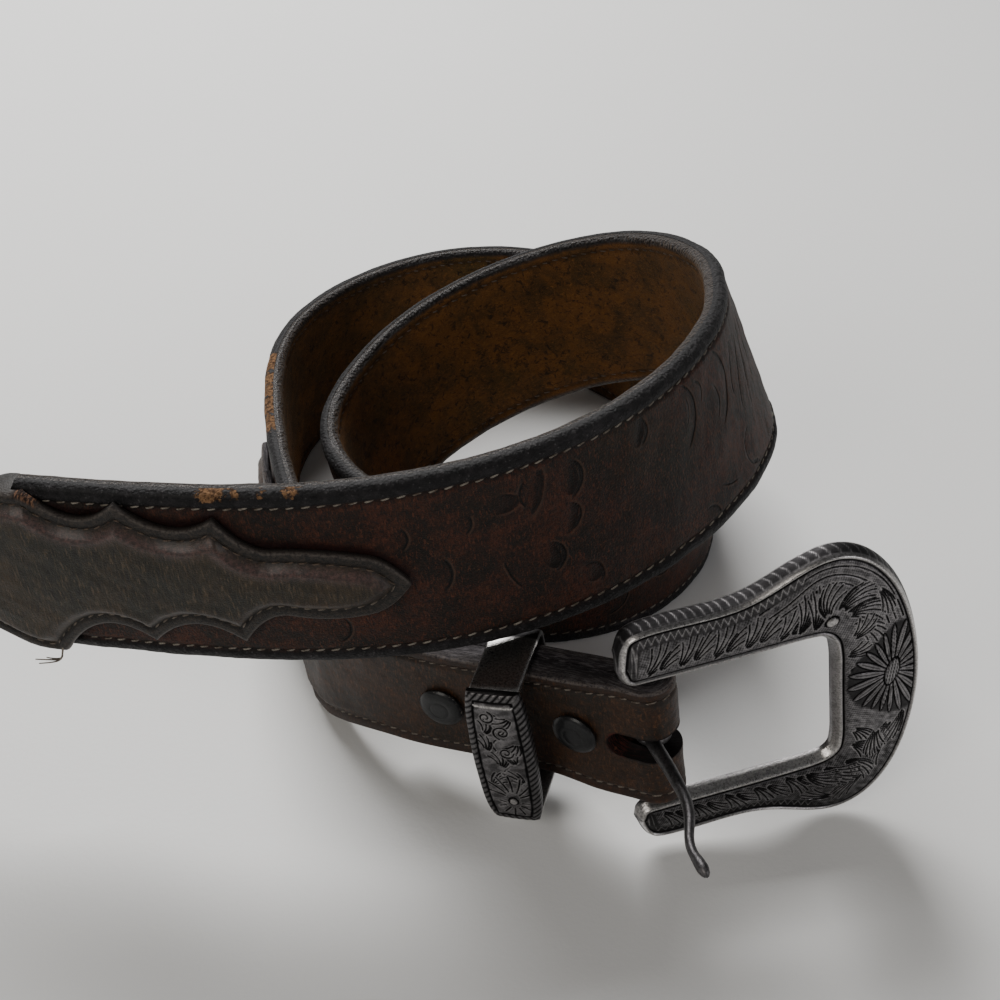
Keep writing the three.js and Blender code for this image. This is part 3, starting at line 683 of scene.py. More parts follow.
colour = layered(
    dyed(patches.between(0.4, 0.64), (0.0095, 0.0056, 0.0034), (0.042, 0.0118, 0.0052)),
    (broad.between(0.5, 0.66) * 0.8, (0.0115, 0.009, 0.004)),
    (speckle.between(0.52, 0.36) * 0.8, black),
    (fibre.between(0.53, 0.64) * 0.62, (0.105, 0.031, 0.014)),
    (fibre.between(0.48, 0.37) * 0.85, black),
    (speckle.between(0.61, 0.74) * 0.5, tan),
    # the dark red band round the overlays, partly burnish and partly painted shadow
    (strap_leather.attribute("burnish_and_shadow") * 0.85, (0.011, 0.0025, 0.0025)),
    (mark.between(0.05, 0.8) * 0.72, (0.0045, 0.004, 0.0035)),
    (lip * 0.42, (0.08, 0.045, 0.03)),
    (cut * 0.95, (0.002, 0.0015, 0.0015)),
    (strap_leather.attribute("groove") * 0.75, black),
)
colour, pebbles = edge_black(flat, rim, colour)
scuff = strap_leather.attribute("worn") + (flat.cloud(0.9, 5, 0.7) - 0.5) * 1.7
bare = scuff.between(0.42, 0.56)
colour = dyed(
    bare, colour,
    dyed(speckle.between(0.38, 0.6), (0.04, 0.019, 0.009), (0.22, 0.12, 0.058)),
)
strap_leather.show(
    Base_Color=colour,
    Roughness=0.54 + speckle * 0.22 + rim * 0.06 + bare * 0.3 - patches * 0.06 - mark * 0.12,
    Coat_Weight=0.05 * (1 - bare),
    Normal=raised(
        speckle * 0.16
        + pores.between(0.0, 0.25) * 0.08
        + fibre * 0.14
        + abs(crease - 0.5).between(0.0, 0.06) * 0.03
        + pebbles
        - cut * 0.42
        + lip * 0.08
        - bare * 0.15,
    ),
)
finished(strap_face, strap_leather)
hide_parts("strap_face")
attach(strap_face, "strap")


# The lining: the inner ply of rough brown suede, glued and sewn to the back of the face. Both
# edges are rubbed round together and take the same black edge dye.
lining_thickness, lining_groove = 2.06, 2.9
lining_half = body_half - 0.08
lining_along = steps(body_start, body_end, 1.6)
lining_rise, station, inward = ply_rows(lining_along, lining_half, 24)
lining_front = (
    lining_thickness
    - rolled_edge(inward, 1.5, 1.35)
    - 0.25 * ridge(inward, lining_groove, 0.5)
    + 0.08 * wave(station, lining_rise, 11, 8)
    + 0.05 * wave(station, lining_rise, 12, 2.5)
)
lining_station, lining_rise_round, lining_height = round_section(
    lining_along, lining_rise, lining_front, inset=0.02
)
inward = lining_half - abs(lining_rise_round)
strap_lining = formed(
    "strap_inner_ply",
    on_belt(lining_station, lining_rise_round, -0.03 - lining_height),
    {
        "flat": np.stack([lining_station, lining_rise_round, lining_height], -1),
        "rim": 1 - soft_step(1.0, 1.7, inward),
        "groove": ridge(inward, lining_groove, 0.5),
    },
)
suede = Finish("rough_suede", {
    "Sheen Weight": 0.14, "Sheen Roughness": 0.45, "Sheen Tint": (0.75, 0.5, 0.3, 1),
    "Specular IOR Level": 0.25,
})
suede_at = suede.attribute("flat", "Vector")
suede_patch = suede_at.cloud(0.1, 6, 0.65, 0.5)
suede_broad = suede_at.cloud(0.04, 3)
nap = suede_at.scaled(0.8, 1.3).cloud(1.7, 5, 0.78, 1.0)
tuft = suede_at.cloud(0.65, 6, 0.75, 0.8)
suede_colour = layered(
    dyed(suede_patch.between(0.38, 0.64), (0.056, 0.029, 0.009), (0.13, 0.054, 0.012)),
    (suede_broad.between(0.52, 0.7) * 0.6, (0.042, 0.032, 0.009)),
    (nap.between(0.53, 0.68) * 0.65, (0.28, 0.11, 0.026)),
    (nap.between(0.5, 0.3) * 0.7, (0.01, 0.006, 0.003)),
    (tuft.between(0.47, 0.38) * 0.9, (0.008, 0.005, 0.003)),
    (suede.attribute("groove") * 0.6, (0.01, 0.006, 0.004)),
)
suede_rim = suede.attribute("rim")
suede_colour, suede_pebbles = edge_black(suede_at, suede_rim, suede_colour)
suede.show(
    Base_Color=suede_colour,
    Roughness=0.86 - suede_rim * 0.24 + tuft * 0.08,
    Coat_Weight=suede_rim * 0.05,
    Normal=raised((nap * 0.25 + tuft * 0.3) * (1 - suede_rim) + suede_pebbles),
)
finished(strap_lining, suede)
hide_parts("strap_lining")
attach(strap_lining, "strap")


# The billet of the free end: a padded overlay with scalloped edges, sewn down on the strap over
# its cut end, that goes on as a plain strap 25 mm wide with five punched holes.
shoulder_half, billet_half = 19.2, 12.5
overlay_top, overlay_groove = 4.0, 2.2
point_length, point_width = 22.0, 5.0


def shoulder(first, last, past):
    return shoulder_half + (billet_half - shoulder_half) * soft_step(first, last, past)


def overlay_front(inward, outer, padding, seed, along, rise):
    """Height of an overlay: rolled edge, flat margin, stitch groove and padded middle."""
    return (
        outer
        + padding * (0.72 * soft_step(2.3, 4.3, inward) + 0.28 * soft_step(3.5, 9, inward))
        + 0.12 * padding * ridge(inward, 4.6, 1.2)
        - rolled_edge(inward, 0.75, 0.7)
        - 0.45 * ridge(inward, overlay_groove, 0.4)
        + 0.06 * wave(along, rise, seed, 8) * soft_step(1, 4, inward)
        + 0.035 * wave(along, rise, seed + 1, 2.2) * soft_step(1, 4, inward)
    )


tip_reach = np.r_[
    scallop_reaches(0.42), -0.1, -0.25, -0.45, -0.75, -1.5, -2.4,
    steps(-3.4, -body_start + point_length, 1.6),
    steps(-body_start + point_length - 1, -body_start + 0.4, 0.8),
]
tip_along = body_start + tip_reach
nose = np.sqrt(np.clip(1 - ((point_length - tip_along) / point_length) ** 2, 0, 1))
plain_half = shoulder(1.5, 18, -tip_reach)
plain_half = np.where(
    tip_along < point_length, point_width / 2 + (plain_half - point_width / 2) * nose, plain_half
)


def overlay_edges(reach, half):
    """Upper and lower edge: scallops on the strap and the plain half width past its cut end."""
    return [
        np.where(reach >= 0, scallop_edge(rows, reach), side * half)
        for rows, side in ((upper_scallops, 1), (lower_scallops, -1))
    ]


tip_upper, tip_lower = overlay_edges(tip_reach, plain_half)
# At the cut its upper edge lies level with the strap's rim
tip_upper = tip_upper - 0.9 * (1 - soft_step(1.0, 4.0, tip_reach)) * soft_step(-16, -6, tip_reach)


def softened(inward):
    """The way to the edge with its creases inside the stitches rounded off."""
    smooth = inward
    for _ in range(24):
        padded = np.vstack([smooth[:1], smooth, smooth[-1:]])
        smooth = (padded[:-2] + 2 * padded[1:-1] + padded[2:]) / 4
    share = soft_step(1.9, 3.0, inward)
    return inward * (1 - share) + smooth * share


def overlay_plan(along, lower, upper):
    """Rise and station of each place of a flat overlay, its edges and the way to them."""
    rise = np.array([across(low, high, 52) for low, high in zip(lower, upper)])
    station = by_rows(along, rise.shape[1])
    end = np.array([[along[-1], lower[-1]], [along[-1], upper[-1]]])
    edges = [np.stack([along, upper], 1), np.stack([along, lower], 1), end]
    return rise, station, edges, softened(distance_to_lines(station, rise, edges))


tip_rise, station, tip_edges, tip_inward = overlay_plan(tip_along, tip_lower, tip_upper)
tip_padding = 1.3 * (1 - 0.8 * soft_step(0, 30, body_start - station))
tip_front = overlay_front(tip_inward, overlay_top, tip_padding, 21, station, tip_rise)
past_cut = soft_step(0.1, 0.5, -tip_reach)
tip_back = (2.4 * (1 - past_cut) - 2.0 * past_cut * (1 - soft_step(6, 14, -tip_reach)))[:, None]
tip_station, tip_rise_round, tip_depth = round_section(
    tip_along, tip_rise, tip_front, tip_back
)
tip_depth = tip_depth - rolled_edge(np.maximum(body_half - abs(tip_rise_round), 0), 2.0, 1.45)
tip_billet = formed("tip_billet_flat", np.stack([tip_station, -tip_depth, tip_rise_round], -1))


def cylinder(radius, depth, place, turned=(0, 0, 0), sides=56, **caps):
    bpy.ops.object.select_all(action="DESELECT")
    bpy.ops.mesh.primitive_cylinder_add(
        vertices=sides, radius=radius * millimetre, depth=depth * millimetre,
        location=[way * millimetre for way in place], rotation=turned, **caps,
    )
    return bpy.context.object


def punch(piece, cutters):
    """Cuts the shapes out of the piece while it still lies flat on the bench."""
    select(*cutters)
    if len(cutters) > 1:
        bpy.ops.object.join()
    cutter = cutters[0]
    bpy.ops.object.transform_apply()
    select(piece)
    cut = piece.modifiers.new("punch", "BOOLEAN")
    cut.operation = "DIFFERENCE"
    cut.solver = "EXACT"
    cut.object = cutter
    bpy.ops.object.modifier_apply(modifier="punch")
    bpy.data.objects.remove(cutter, do_unlink=True)


def round_punch(along, rise, radius):
    return cylinder(radius, 30, (along, 0, rise), upright, 40)


def on_bench(piece):
    """Along, rise and depth of each vertex of a piece that lies flat on the bench."""
    flat = corners(piece)
    return flat[:, 0], flat[:, 2], -flat[:, 1]


upright = (math.pi / 2, 0, 0)
first_hole, hole_pitch, hole_radius = 34, 22, 2.2
belt_holes = [(first_hole + hole_pitch * i, 0, hole_radius) for i in range(5)]
punch(tip_billet, [round_punch(*hole) for hole in belt_holes])
bench_along, bench_rise, bench_depth = on_bench(tip_billet)
reshape(tip_billet, on_belt(bench_along, bench_rise, bench_depth))


def keep_overlay_values(piece, along, rise, depth, edges, front_side, holes):
    """What the finish of an overlay reads: its cut rims, margin, groove, the ridge that carries a
    painted sheen, stronger on the upper side, and its corner.
    """
    inward = distance_to_lines(along, rise, edges)
    bored = np.full(len(along), 9.0)
    for hole_along, hole_rise, radius in holes:
        bored = np.minimum(bored, np.hypot(along - hole_along, rise - hole_rise) - radius)
    keep(piece, "flat", np.stack([along, rise, depth], 1))
    keep(piece, "rim", 1 - soft_step(0.2, 0.6, np.minimum(inward, np.maximum(bored, 0))))
    keep(piece, "margin", (1 - soft_step(2.0, 2.5, inward)) * front_side)
    keep(piece, "groove", ridge(inward, overlay_groove, 0.3) * front_side)
    # The ridge's painted sheen is stronger on the upper side, which faces the light
    sheen_on_upper_side = 0.25 + 0.75 * soft_step(-2, 3, rise)
    keep(piece, "ridge", ridge(inward, 3.7, 1.1) * front_side * sheen_on_upper_side)
    keep(piece, "corner", ridge(inward, 0.22, 0.2) * front_side)


keep_overlay_values(
    tip_billet, bench_along, bench_rise, bench_depth, tip_edges,
    (bench_depth > 2.9).astype(float), belt_holes,
)
split_at = 1 - soft_step(1.3, 2.5, abs(bench_along - body_start - 2.6))
to_edge = distance_to_lines(bench_along, bench_rise, tip_edges)
keep(tip_billet, "split", split_at * (1 - soft_step(0.3, 0.9, to_edge)) * (bench_rise > 13))
tip_billet.name = "tip_billet_leather"


# Its leather has a dark flat margin, a rubbed purple-brown ridge inside the stitches with a
# painted sheen on it, strongest on its upper side, an olive-black middle streaked with fine
# hairlines and a thin painted highlight along the cut corner; the split upper corner shows raw
# fibres
tip_leather = Finish(
    "tip_billet_leather", {"Coat Roughness": 0.3, "Coat IOR": 1.45, "Specular IOR Level": 0.3}
)
flat = tip_leather.attribute("flat", "Vector")
patches = flat.cloud(0.09, 5, 0.6, 0.5)
speckle = flat.cloud(1.9, 4, 0.7)
pores = flat.cells(2.1, "DISTANCE_TO_EDGE")
streak = flat.scaled(1.5, 0.16).cloud(1, 6, 0.75, 0.2)
hair = flat.scaled(2.8, 0.42).cloud(1, 4, 0.72, 0.2)
ridge_with_painted_sheen = tip_leather.attribute("ridge")
rim = tip_leather.attribute("rim")
corner = tip_leather.attribute("corner")
split = tip_leather.attribute("split")
black = (0.004, 0.0035, 0.003)
colour = layered(
    dyed(patches.between(0.38, 0.66), (0.0125, 0.012, 0.0075), (0.028, 0.0185, 0.0085)),
    (streak.between(0.52, 0.72) * 0.5, (0.075, 0.045, 0.024)),
    (streak.between(0.5, 0.32) * 0.6, black),
    (hair.between(0.55, 0.66) * 0.55, (0.12, 0.08, 0.045)),
    (hair.between(0.47, 0.38) * 0.75, black),
    # the ridge's purple-brown colour, partly painted sheen
    (
        ridge_with_painted_sheen * 0.8,
        dyed(speckle.between(0.4, 0.64), (0.024, 0.013, 0.012), (0.095, 0.045, 0.039)),
    ),
    (
        tip_leather.attribute("margin"),
        dyed(speckle.between(0.42, 0.62), black, (0.027, 0.02, 0.015)),
    ),
    (tip_leather.attribute("groove") * 0.8, black),
    (rim, dyed(speckle.between(0.35, 0.6), (0.018, 0.013, 0.011), black)),
    # a thin painted highlight along the cut corner
    (corner * speckle.between(0.38, 0.55) * 0.6, (0.12, 0.1, 0.085)),
    (split, dyed(hair.between(0.46, 0.64), (0.012, 0.005, 0.003), (0.19, 0.095, 0.052))),
)
tip_leather.show(
    Base_Color=colour,
    Roughness=0.52 + speckle * 0.2 - ridge_with_painted_sheen * 0.14 - patches * 0.08 + split * 0.3,
    Coat_Weight=(0.06 + ridge_with_painted_sheen * 0.42) * (1 - split),
    Normal=raised(
        speckle * 0.1 + pores.between(0.0, 0.2) * 0.06 + streak * 0.08
        + hair * (0.07 + split * 0.3),
    ),
)
finished(tip_billet, tip_leather)
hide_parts("tip_billet")
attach(tip_billet, "strap")


# The billet that carries the buckle: smooth lighter leather, sewn down with the same scallops,
# folded round the buckle's bar and turned back, and slotted at the fold for the prong.
fold_radius, bar_depth, fold_thickness = 1.8, -1.4, 3.3
fold_arc = math.pi * (fold_radius + 1.6)
turned_length = 52.0
buckle_reach = scallop_reaches(0.45)
buckle_flat = np.r_[
    body_end - buckle_reach, body_end + 0.4, body_end + 1.2, body_end + 2.4,
    steps(body_end + 3.0, belt_length, 0.6),
    steps(belt_length, belt_length + fold_arc, 0.45)[1:],
    steps(belt_length + fold_arc, belt_length + fold_arc + turned_length, 1.3)[1:],
]


def belt_place_of(flat_along):
    """Where a place on the flat billet ends up along the belt, once it is folded."""
    over = flat_along - belt_length - fold_arc
    return np.where(over > 0, belt_length - over, np.minimum(flat_along, belt_length))


def buckle_half_width(along):
    flare = soft_step(belt_length - 20, belt_length - 4, along)
    return shoulder(-2, 24, along - body_end) + 1.1 * flare


def buckle_inner(flat_along):
    """Depth of the billet's inner face in front of the fold, and of the turned-back one behind."""
    along = belt_place_of(flat_along)
    at_bar = soft_step(belt_length - 12, belt_length, along)
    lying = 2.4 * (1 - soft_step(0.4, 2.4, along - body_end))
    front = lying + (bar_depth + fold_radius - lying) * at_bar
    opening = soft_step(belt_length - 7, belt_length, along)
    behind = 0.3 + (fold_radius - bar_depth - 0.3) * opening
    return np.where(flat_along > belt_length + fold_arc, behind, front)


def buckle_thickness(flat_along):
    along = belt_place_of(flat_along)
    past = along - body_end
    outer = overlay_top + 0.8 * soft_step(0, 8, past)
    at_bar = soft_step(belt_length - 12, belt_length, along)
    outer = outer + (bar_depth + fold_radius + fold_thickness - outer) * at_bar
    front = outer - buckle_inner(np.minimum(flat_along, belt_length))
    bend = np.clip((flat_along - belt_length) / fold_arc, 0, 1)
    return np.where(flat_along > belt_length, fold_thickness - 0.3 * bend, front)


buckle_upper, buckle_lower = overlay_edges(
    body_end - buckle_flat, buckle_half_width(belt_place_of(buckle_flat))
)
buckle_rise, station, buckle_edges, buckle_inward = overlay_plan(
    buckle_flat, buckle_lower, buckle_upper
)
buckle_padding = 1.3 * (1 - soft_step(0, 26, station - body_end))
buckle_front = overlay_front(
    buckle_inward, buckle_thickness(station), buckle_padding, 31, station, buckle_rise
)
buckle_station, buckle_rise_round, buckle_height = round_section(
    buckle_flat, buckle_rise, buckle_front
)
buckle_billet = formed(
    "buckle_billet_flat", np.stack([buckle_station, -buckle_height, buckle_rise_round], -1)
)
snap_places = ((854.7, 0.0), (882.1, 1.0))
slot_radius, snap_hole = 2.7, 2.35
slot_start = belt_length - 6.2 + slot_radius
slot_end = belt_length + fold_arc + 7 - slot_radius
slot_middle, slot_reach = (slot_start + slot_end) / 2, (slot_end - slot_start) / 2
slot_punch = cylinder(slot_radius, 30, (slot_middle, 0, 0), upright, 48)
slot_shape = corners(slot_punch)
slot_shape[:, 0] += np.where(slot_shape[:, 0] > 0, slot_reach, -slot_reach)
reshape(slot_punch, slot_shape)
snap_holes = [
    (place_of_hole, rise, snap_hole)
    for along, rise in snap_places
    for place_of_hole in (along, 2 * belt_length + fold_arc - along)
]
punch(buckle_billet, [slot_punch] + [round_punch(*hole) for hole in snap_holes])
bench_along, bench_rise, bench_height = on_bench(buckle_billet)


def folded(flat_along, rise, height):
    """From the flat billet, with a height over its inner face, to its place round the bar."""
    depth = buckle_inner(flat_along) + height
    past_bend = flat_along > belt_length + fold_arc
    bending = (flat_along > belt_length) & ~past_bend
    points = on_belt(belt_place_of(flat_along), rise, np.where(past_bend, -depth, depth))
    angle = (flat_along - belt_length) / fold_arc * math.pi
    spoke = np.cos(angle)[:, None] * bar_outward + np.sin(angle)[:, None] * bar_forward
    round_bar = bar_centre + bar_up * rise[:, None] + spoke * (fold_radius + height)[:, None]
    points[bending] = round_bar[bending]
    return points


bar_point, bar_forward, bar_up, bar_outward = (part[0] for part in belt_frame([belt_length]))
bar_centre = bar_point + bar_outward * bar_depth
reshape(buckle_billet, folded(bench_along, bench_rise, bench_height))
share_of_height = bench_height / np.maximum(buckle_thickness(bench_along), 1)
keep_overlay_values(
    buckle_billet, bench_along, bench_rise, bench_height, buckle_edges,
    soft_step(0.55, 0.85, share_of_height), snap_holes,
)
past_slot = np.maximum(abs(bench_along - slot_middle) - slot_reach, 0)
slot_gap = np.hypot(past_slot, bench_rise) - slot_radius
keep(buckle_billet, "slot_wall", 1 - soft_step(0.05, 0.5, slot_gap))
keep(buckle_billet, "frayed", 1 - soft_step(slot_start - 2, slot_start + 1.5, bench_along))
buckle_billet.name = "buckle_billet_leather"

smooth_leather = Finish(
    "buckle_billet_leather", {"Coat Roughness": 0.28, "Coat IOR": 1.45, "Specular IOR Level": 0.24}
)
at = smooth_leather.attribute("flat", "Vector")
patch = at.cloud(0.12, 5, 0.6, 0.6)
speckle = at.cloud(2.0, 4, 0.7)
fleck = at.scaled(2.6, 0.8).cloud(1, 4, 0.7, 0.5)
rubbed = at.scaled(0.25, 1.6).cloud(1, 6, 0.7, 0.4)
rim = smooth_leather.attribute("rim")
slot_wall = smooth_leather.attribute("slot_wall")
billet_colour = layered(
    dyed(patch.between(0.36, 0.64), (0.0108, 0.006, 0.0027), (0.0275, 0.0112, 0.0038)),
    (rubbed.between(0.5, 0.3) * 0.7, (0.01, 0.006, 0.005)),
    (rubbed.between(0.54, 0.76) * 0.4, (0.075, 0.034, 0.014)),
    (fleck.between(0.53, 0.66) * 0.5, (0.12, 0.048, 0.018)),
    (fleck.between(0.48, 0.36) * 0.7, (0.004, 0.003, 0.002)),
    (smooth_leather.attribute("margin") * 0.35, (0.022, 0.01, 0.007)),
    (smooth_leather.attribute("groove") * 0.7, (0.007, 0.004, 0.003)),
)
# The cut edges are black with rough grey fibres along them, rubbed light along the front corner
edge_fibre = at.scaled(0.35, 0.7, 3.4).cloud(1, 6, 0.8, 0.6)
edge_colour = dyed(edge_fibre.between(0.46, 0.62), (0.014, 0.012, 0.014), (0.095, 0.087, 0.092))
billet_colour = dyed(rim, billet_colour, edge_colour)
rubbed_corner = smooth_leather.attribute("corner") * speckle.between(0.4, 0.55)
billet_colour = dyed(rubbed_corner * 0.7, billet_colour, (0.15, 0.125, 0.11))
frayed = smooth_leather.attribute("frayed")
# The slot's walls are painted near black as the shade inside the slot, with red fibres at its
# frayed end and pale fibre patches
shaded_slot_colour = dyed(
    edge_fibre.between(0.46, 0.62) * frayed, (0.004, 0.0025, 0.0025), (0.09, 0.019, 0.014)
)
pale_fibre = at.cloud(0.35, 3, 0.6).between(0.62, 0.66)
shaded_slot_colour = dyed(pale_fibre * 0.5, shaded_slot_colour, (0.16, 0.06, 0.03))
billet_colour = dyed(slot_wall, billet_colour, shaded_slot_colour)
smooth_leather.show(
    Base_Color=billet_colour,
    Roughness=0.44 + speckle * 0.2 + rim * 0.2 + slot_wall * 0.35,
    Coat_Weight=0.08 * (1 - rim) * (1 - slot_wall),
    Normal=raised(
        speckle * 0.09 + fleck * 0.06 + rubbed * 0.05 + edge_fibre * (rim + slot_wall) * 0.3,
    ),
)
finished(buckle_billet, smooth_leather)
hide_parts("buckle_billet")
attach(buckle_billet, "strap")


# The seams: waxed beige thread, about eight stitches to the inch, each slanted a little and sunk
# at its ends. One stitch is modelled, repeated in a row, and the row is laid along each seam.
stitch_length = 2.5
lying = (0, math.pi / 2, 0)
stitch = cylinder(0.33, stitch_length, (0, 0, 0), lying, 7, end_fill_type="TRIFAN")
stitch.name = "stitch"
bpy.ops.object.transform_apply(location=False, rotation=True, scale=False)


def ringed(places, direction):
    """Cuts rings of vertices round the active piece at places along a direction."""
    bpy.ops.object.mode_set(mode="EDIT")
    for place in places:
        bpy.ops.mesh.select_all(action="SELECT")
        cut_at = [way * place * millimetre for way in direction]
        bpy.ops.mesh.bisect(plane_co=cut_at, plane_no=direction)
    bpy.ops.object.mode_set(mode="OBJECT")


ringed((-0.3 * stitch_length, 0.3 * stitch_length), (1, 0, 0))
stitch_shape = corners(stitch)
ends = abs(stitch_shape[:, 0]) / (stitch_length / 2)
stitch_shape[:, 1] = stitch_shape[:, 1] * (1 - 0.45 * ends**2) + stitch_shape[:, 0] * 0.2
stitch_shape[:, 2] = stitch_shape[:, 2] * (1 - 0.45 * ends**2) + 0.12 - 0.36 * ends**2
reshape(stitch, stitch_shape)

thread = Finish("waxed_thread", {"Specular IOR Level": 0.3})
thread_at = thread.attribute("flat", "Vector")
thread_dirt = thread_at.cloud(0.35, 4, 0.7)
ply = thread.node(
    "TexWave", {"wave_type": "BANDS", "bands_direction": "DIAGONAL"},
    {"Vector": thread_at, "Scale": 1.3, "Distortion": 1.5}, "Fac",
)
thread_stain = thread.attribute("stain")
thread_colour = layered(
    dyed(thread_dirt.between(0.4, 0.62), (0.27, 0.245, 0.205), (0.085, 0.066, 0.05)),
    (
        thread_stain,
        dyed(thread_dirt.between(0.4, 0.6), (0.085, 0.045, 0.026), (0.016, 0.01, 0.007)),
    ),
)
thread.show(
    # The dark bands between the twisted plies are painted shade in their grooves
    Base_Color=dyed(ply.between(0.5, 0.0) * 0.45, thread_colour, (0.03, 0.02, 0.014)),
    Roughness=0.75 + thread_dirt * 0.1,
    Normal=raised(ply * 0.08),
)


def sew(name, seam, laid, pitch, size, stain=0.0):
    """A row of stitches along a seam. laid puts a place of the seam (a, b, height) in space."""
    seam = np.asarray(seam, float)
    run = run_along(seam)
    count = int(run[-1] / pitch)
    select(stitch)
    bpy.ops.object.duplicate()
    row = bpy.context.object
    row.name = name
    repeat = row.modifiers.new("row", "ARRAY")
    repeat.count = count
    repeat.use_relative_offset = False
    repeat.use_constant_offset = True
    repeat.constant_offset_displace = (pitch / size * millimetre, 0, 0)
    bpy.ops.object.modifier_apply(modifier="row")
    shape = corners(row) * size
    jitter = wave(np.rint(shape[:, 0] / pitch) * 7.3, 0 * shape[:, 0], 5, 11)
    s = shape[:, 0] + (run[-1] - (count - 1) * pitch) / 2
    side = shape[:, 1] * (1 + 0.12 * jitter) + 0.06 * jitter
    before, here, after = (
        np.stack([np.interp(s + step, run, seam[:, k]) for k in (0, 1)], 1)
        for step in (-0.6, 0, 0.6)
    )
    tangent = unit(after - before)
    a = here[:, 0] - tangent[:, 1] * side
    b = here[:, 1] + tangent[:, 0] * side
    keep(row, "flat", np.stack([s, shape[:, 1] * 2, shape[:, 2]], 1))
    keep(row, "stain", np.full(len(s), stain))
    reshape(row, laid(a, b, shape[:, 2]))
    select(row)
    bpy.ops.object.shade_smooth()
    row.data.materials.append(thread.material)
    return row


def inset_line(line, side, gap=2.25):
    """A line a little inside an edge, without the loops that its corners would make."""
    run = run_along(line)
    at = np.arange(0, run[-1], 0.3)
    dense = np.stack([np.interp(at, run, line[:, k]) for k in (0, 1)], 1)
    tangent = unit(np.gradient(dense, axis=0))
    moved = dense + np.stack([-tangent[:, 1], tangent[:, 0]], 1) * gap * side
    clear = distance_to_line(moved, line) > gap - 0.04
    return moved[clear]


# The four ways to lay a seam; each puts the thread on the floor of its groove
def on_face(a, b, height):
    return on_belt(a, b, face_thickness - 0.39 + height)


def on_lining(a, b, height):
    return on_belt(a, b, 0.14 - lining_thickness - height)


def on_tip_billet(a, b, height):
    return on_belt(a, b, overlay_top - 0.32 + height)


def on_buckle_billet(a, b, height):
    return folded(a, b, buckle_thickness(a) - 0.32 + height)


def straight(rise):
    return [(body_start + 3, rise), (body_end - 2, rise)]


tip_seams = [inset_line(tip_edges[k][tip_along > 8], 1 - 2 * k) for k in (0, 1)]
buckle_seams = [inset_line(buckle_edges[k][:-2], 2 * k - 1) for k in (0, 1)]
seams = [
    sew("seam_face_upper", straight(15.95), on_face, 2.6, 0.62),
    sew("seam_face_lower", straight(-15.95), on_face, 2.6, 0.62),
    sew("seam_lining_upper", straight(16), on_lining, 2.6, 0.56, 0.6),
    sew("seam_lining_lower", straight(-16), on_lining, 2.6, 0.56, 0.6),
    sew("seam_tip_upper", tip_seams[0], on_tip_billet, 2.2, 0.56, 0.75),
    sew("seam_tip_lower", tip_seams[1], on_tip_billet, 2.2, 0.56, 0.35),
    sew("seam_buckle_upper", buckle_seams[0], on_buckle_billet, 2.1, 0.56, 0.3),
    sew("seam_buckle_lower", buckle_seams[1], on_buckle_billet, 2.1, 0.56, 0.2),
]
bpy.data.objects.remove(stitch, do_unlink=True)
# Where the lower seam of the tip ends, three plies of its thread hang loose and frayed
loose_plies = (0, 0, 1.0), (0.45, 0.5, 0.85), (-0.4, -0.4, 0.62)
for number, (sag, sway, length) in enumerate(loose_plies, 1):
    loose = np.array([
        (152.3, -16.8, 3.4), (152.0, -18.6, 4.3), (151.6, -19.6, 4.4 + sway * 0.3),
        (151.6 - 2.2 * length, -20.5 - sag * 0.5, 4.4 + sway * 0.6),
        (151.6 - 5.6 * length, -20.9 - sag, 4.4 + sway),
    ])
    knots = run_along(loose)
    run = steps(0, knots[-1], 0.12)
    middle = np.stack([natural_spline(knots, loose[:, k])(run) for k in range(3)], 1)
    middle = on_belt(middle[:, 0], middle[:, 1], middle[:, 2])
    heading = unit(np.gradient(middle, axis=0))
    aside = unit(np.cross(heading, np.array([0.3, 0.9, 0.3])))
    over = np.cross(heading, aside)
    thick = (0.2 - 0.09 * run / run[-1])[:, None, None]
    turn = np.linspace(0, 2 * math.pi, 8)
    ring = np.cos(turn)[:, None] * aside[:, None] + np.sin(turn)[:, None] * over[:, None]
    strand = middle[:, None] + thick * ring
    run_there, turn_there = np.meshgrid(run, turn * 0.1, indexing="ij")
    place_on_strand = np.stack([run_there, turn_there, run_there * 0], -1)
    loose_ply = formed(
        f"loose_ply_{number}", strand,
        {"flat": place_on_strand, "stain": np.full(strand.shape[:2], 0.25)},
    )
    bpy.ops.object.shade_smooth()
    loose_ply.data.materials.append(thread.material)
    seams.append(loose_ply)
for seam in seams:
    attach(seam, "strap")


# The two snap fasteners that hold the fold shut: pressed brass caps with a worn black finish,
# a hollow post through both layers and a flat socket behind.
def seat_matrix(along, rise):
    point, forward, up, outward = (part[0] for part in belt_frame([along]))
    place_of_seat = (point + up * rise) * millimetre
    turned = Matrix([forward, up, outward]).transposed().to_4x4()
    return Matrix.Translation(Vector(place_of_seat)) @ turned


def joined(name, *pieces):
    select(*pieces)
    bpy.ops.object.join()
    pieces[0].name = name
    return pieces[0]


def select_facing(piece, direction, height):
    """Selects the faces that look along Z this way at this height, in millimetres."""
    bpy.ops.mesh.select_mode(type="FACE")
    bpy.ops.mesh.select_all(action="DESELECT")
    bpy.ops.object.mode_set(mode="OBJECT")
    for polygon in piece.data.polygons:
        flat_face = polygon.normal.z * direction > 0.9
        polygon.select = bool(flat_face and abs(polygon.center.z / millimetre - height) < 0.05)
    bpy.ops.object.mode_set(mode="EDIT")


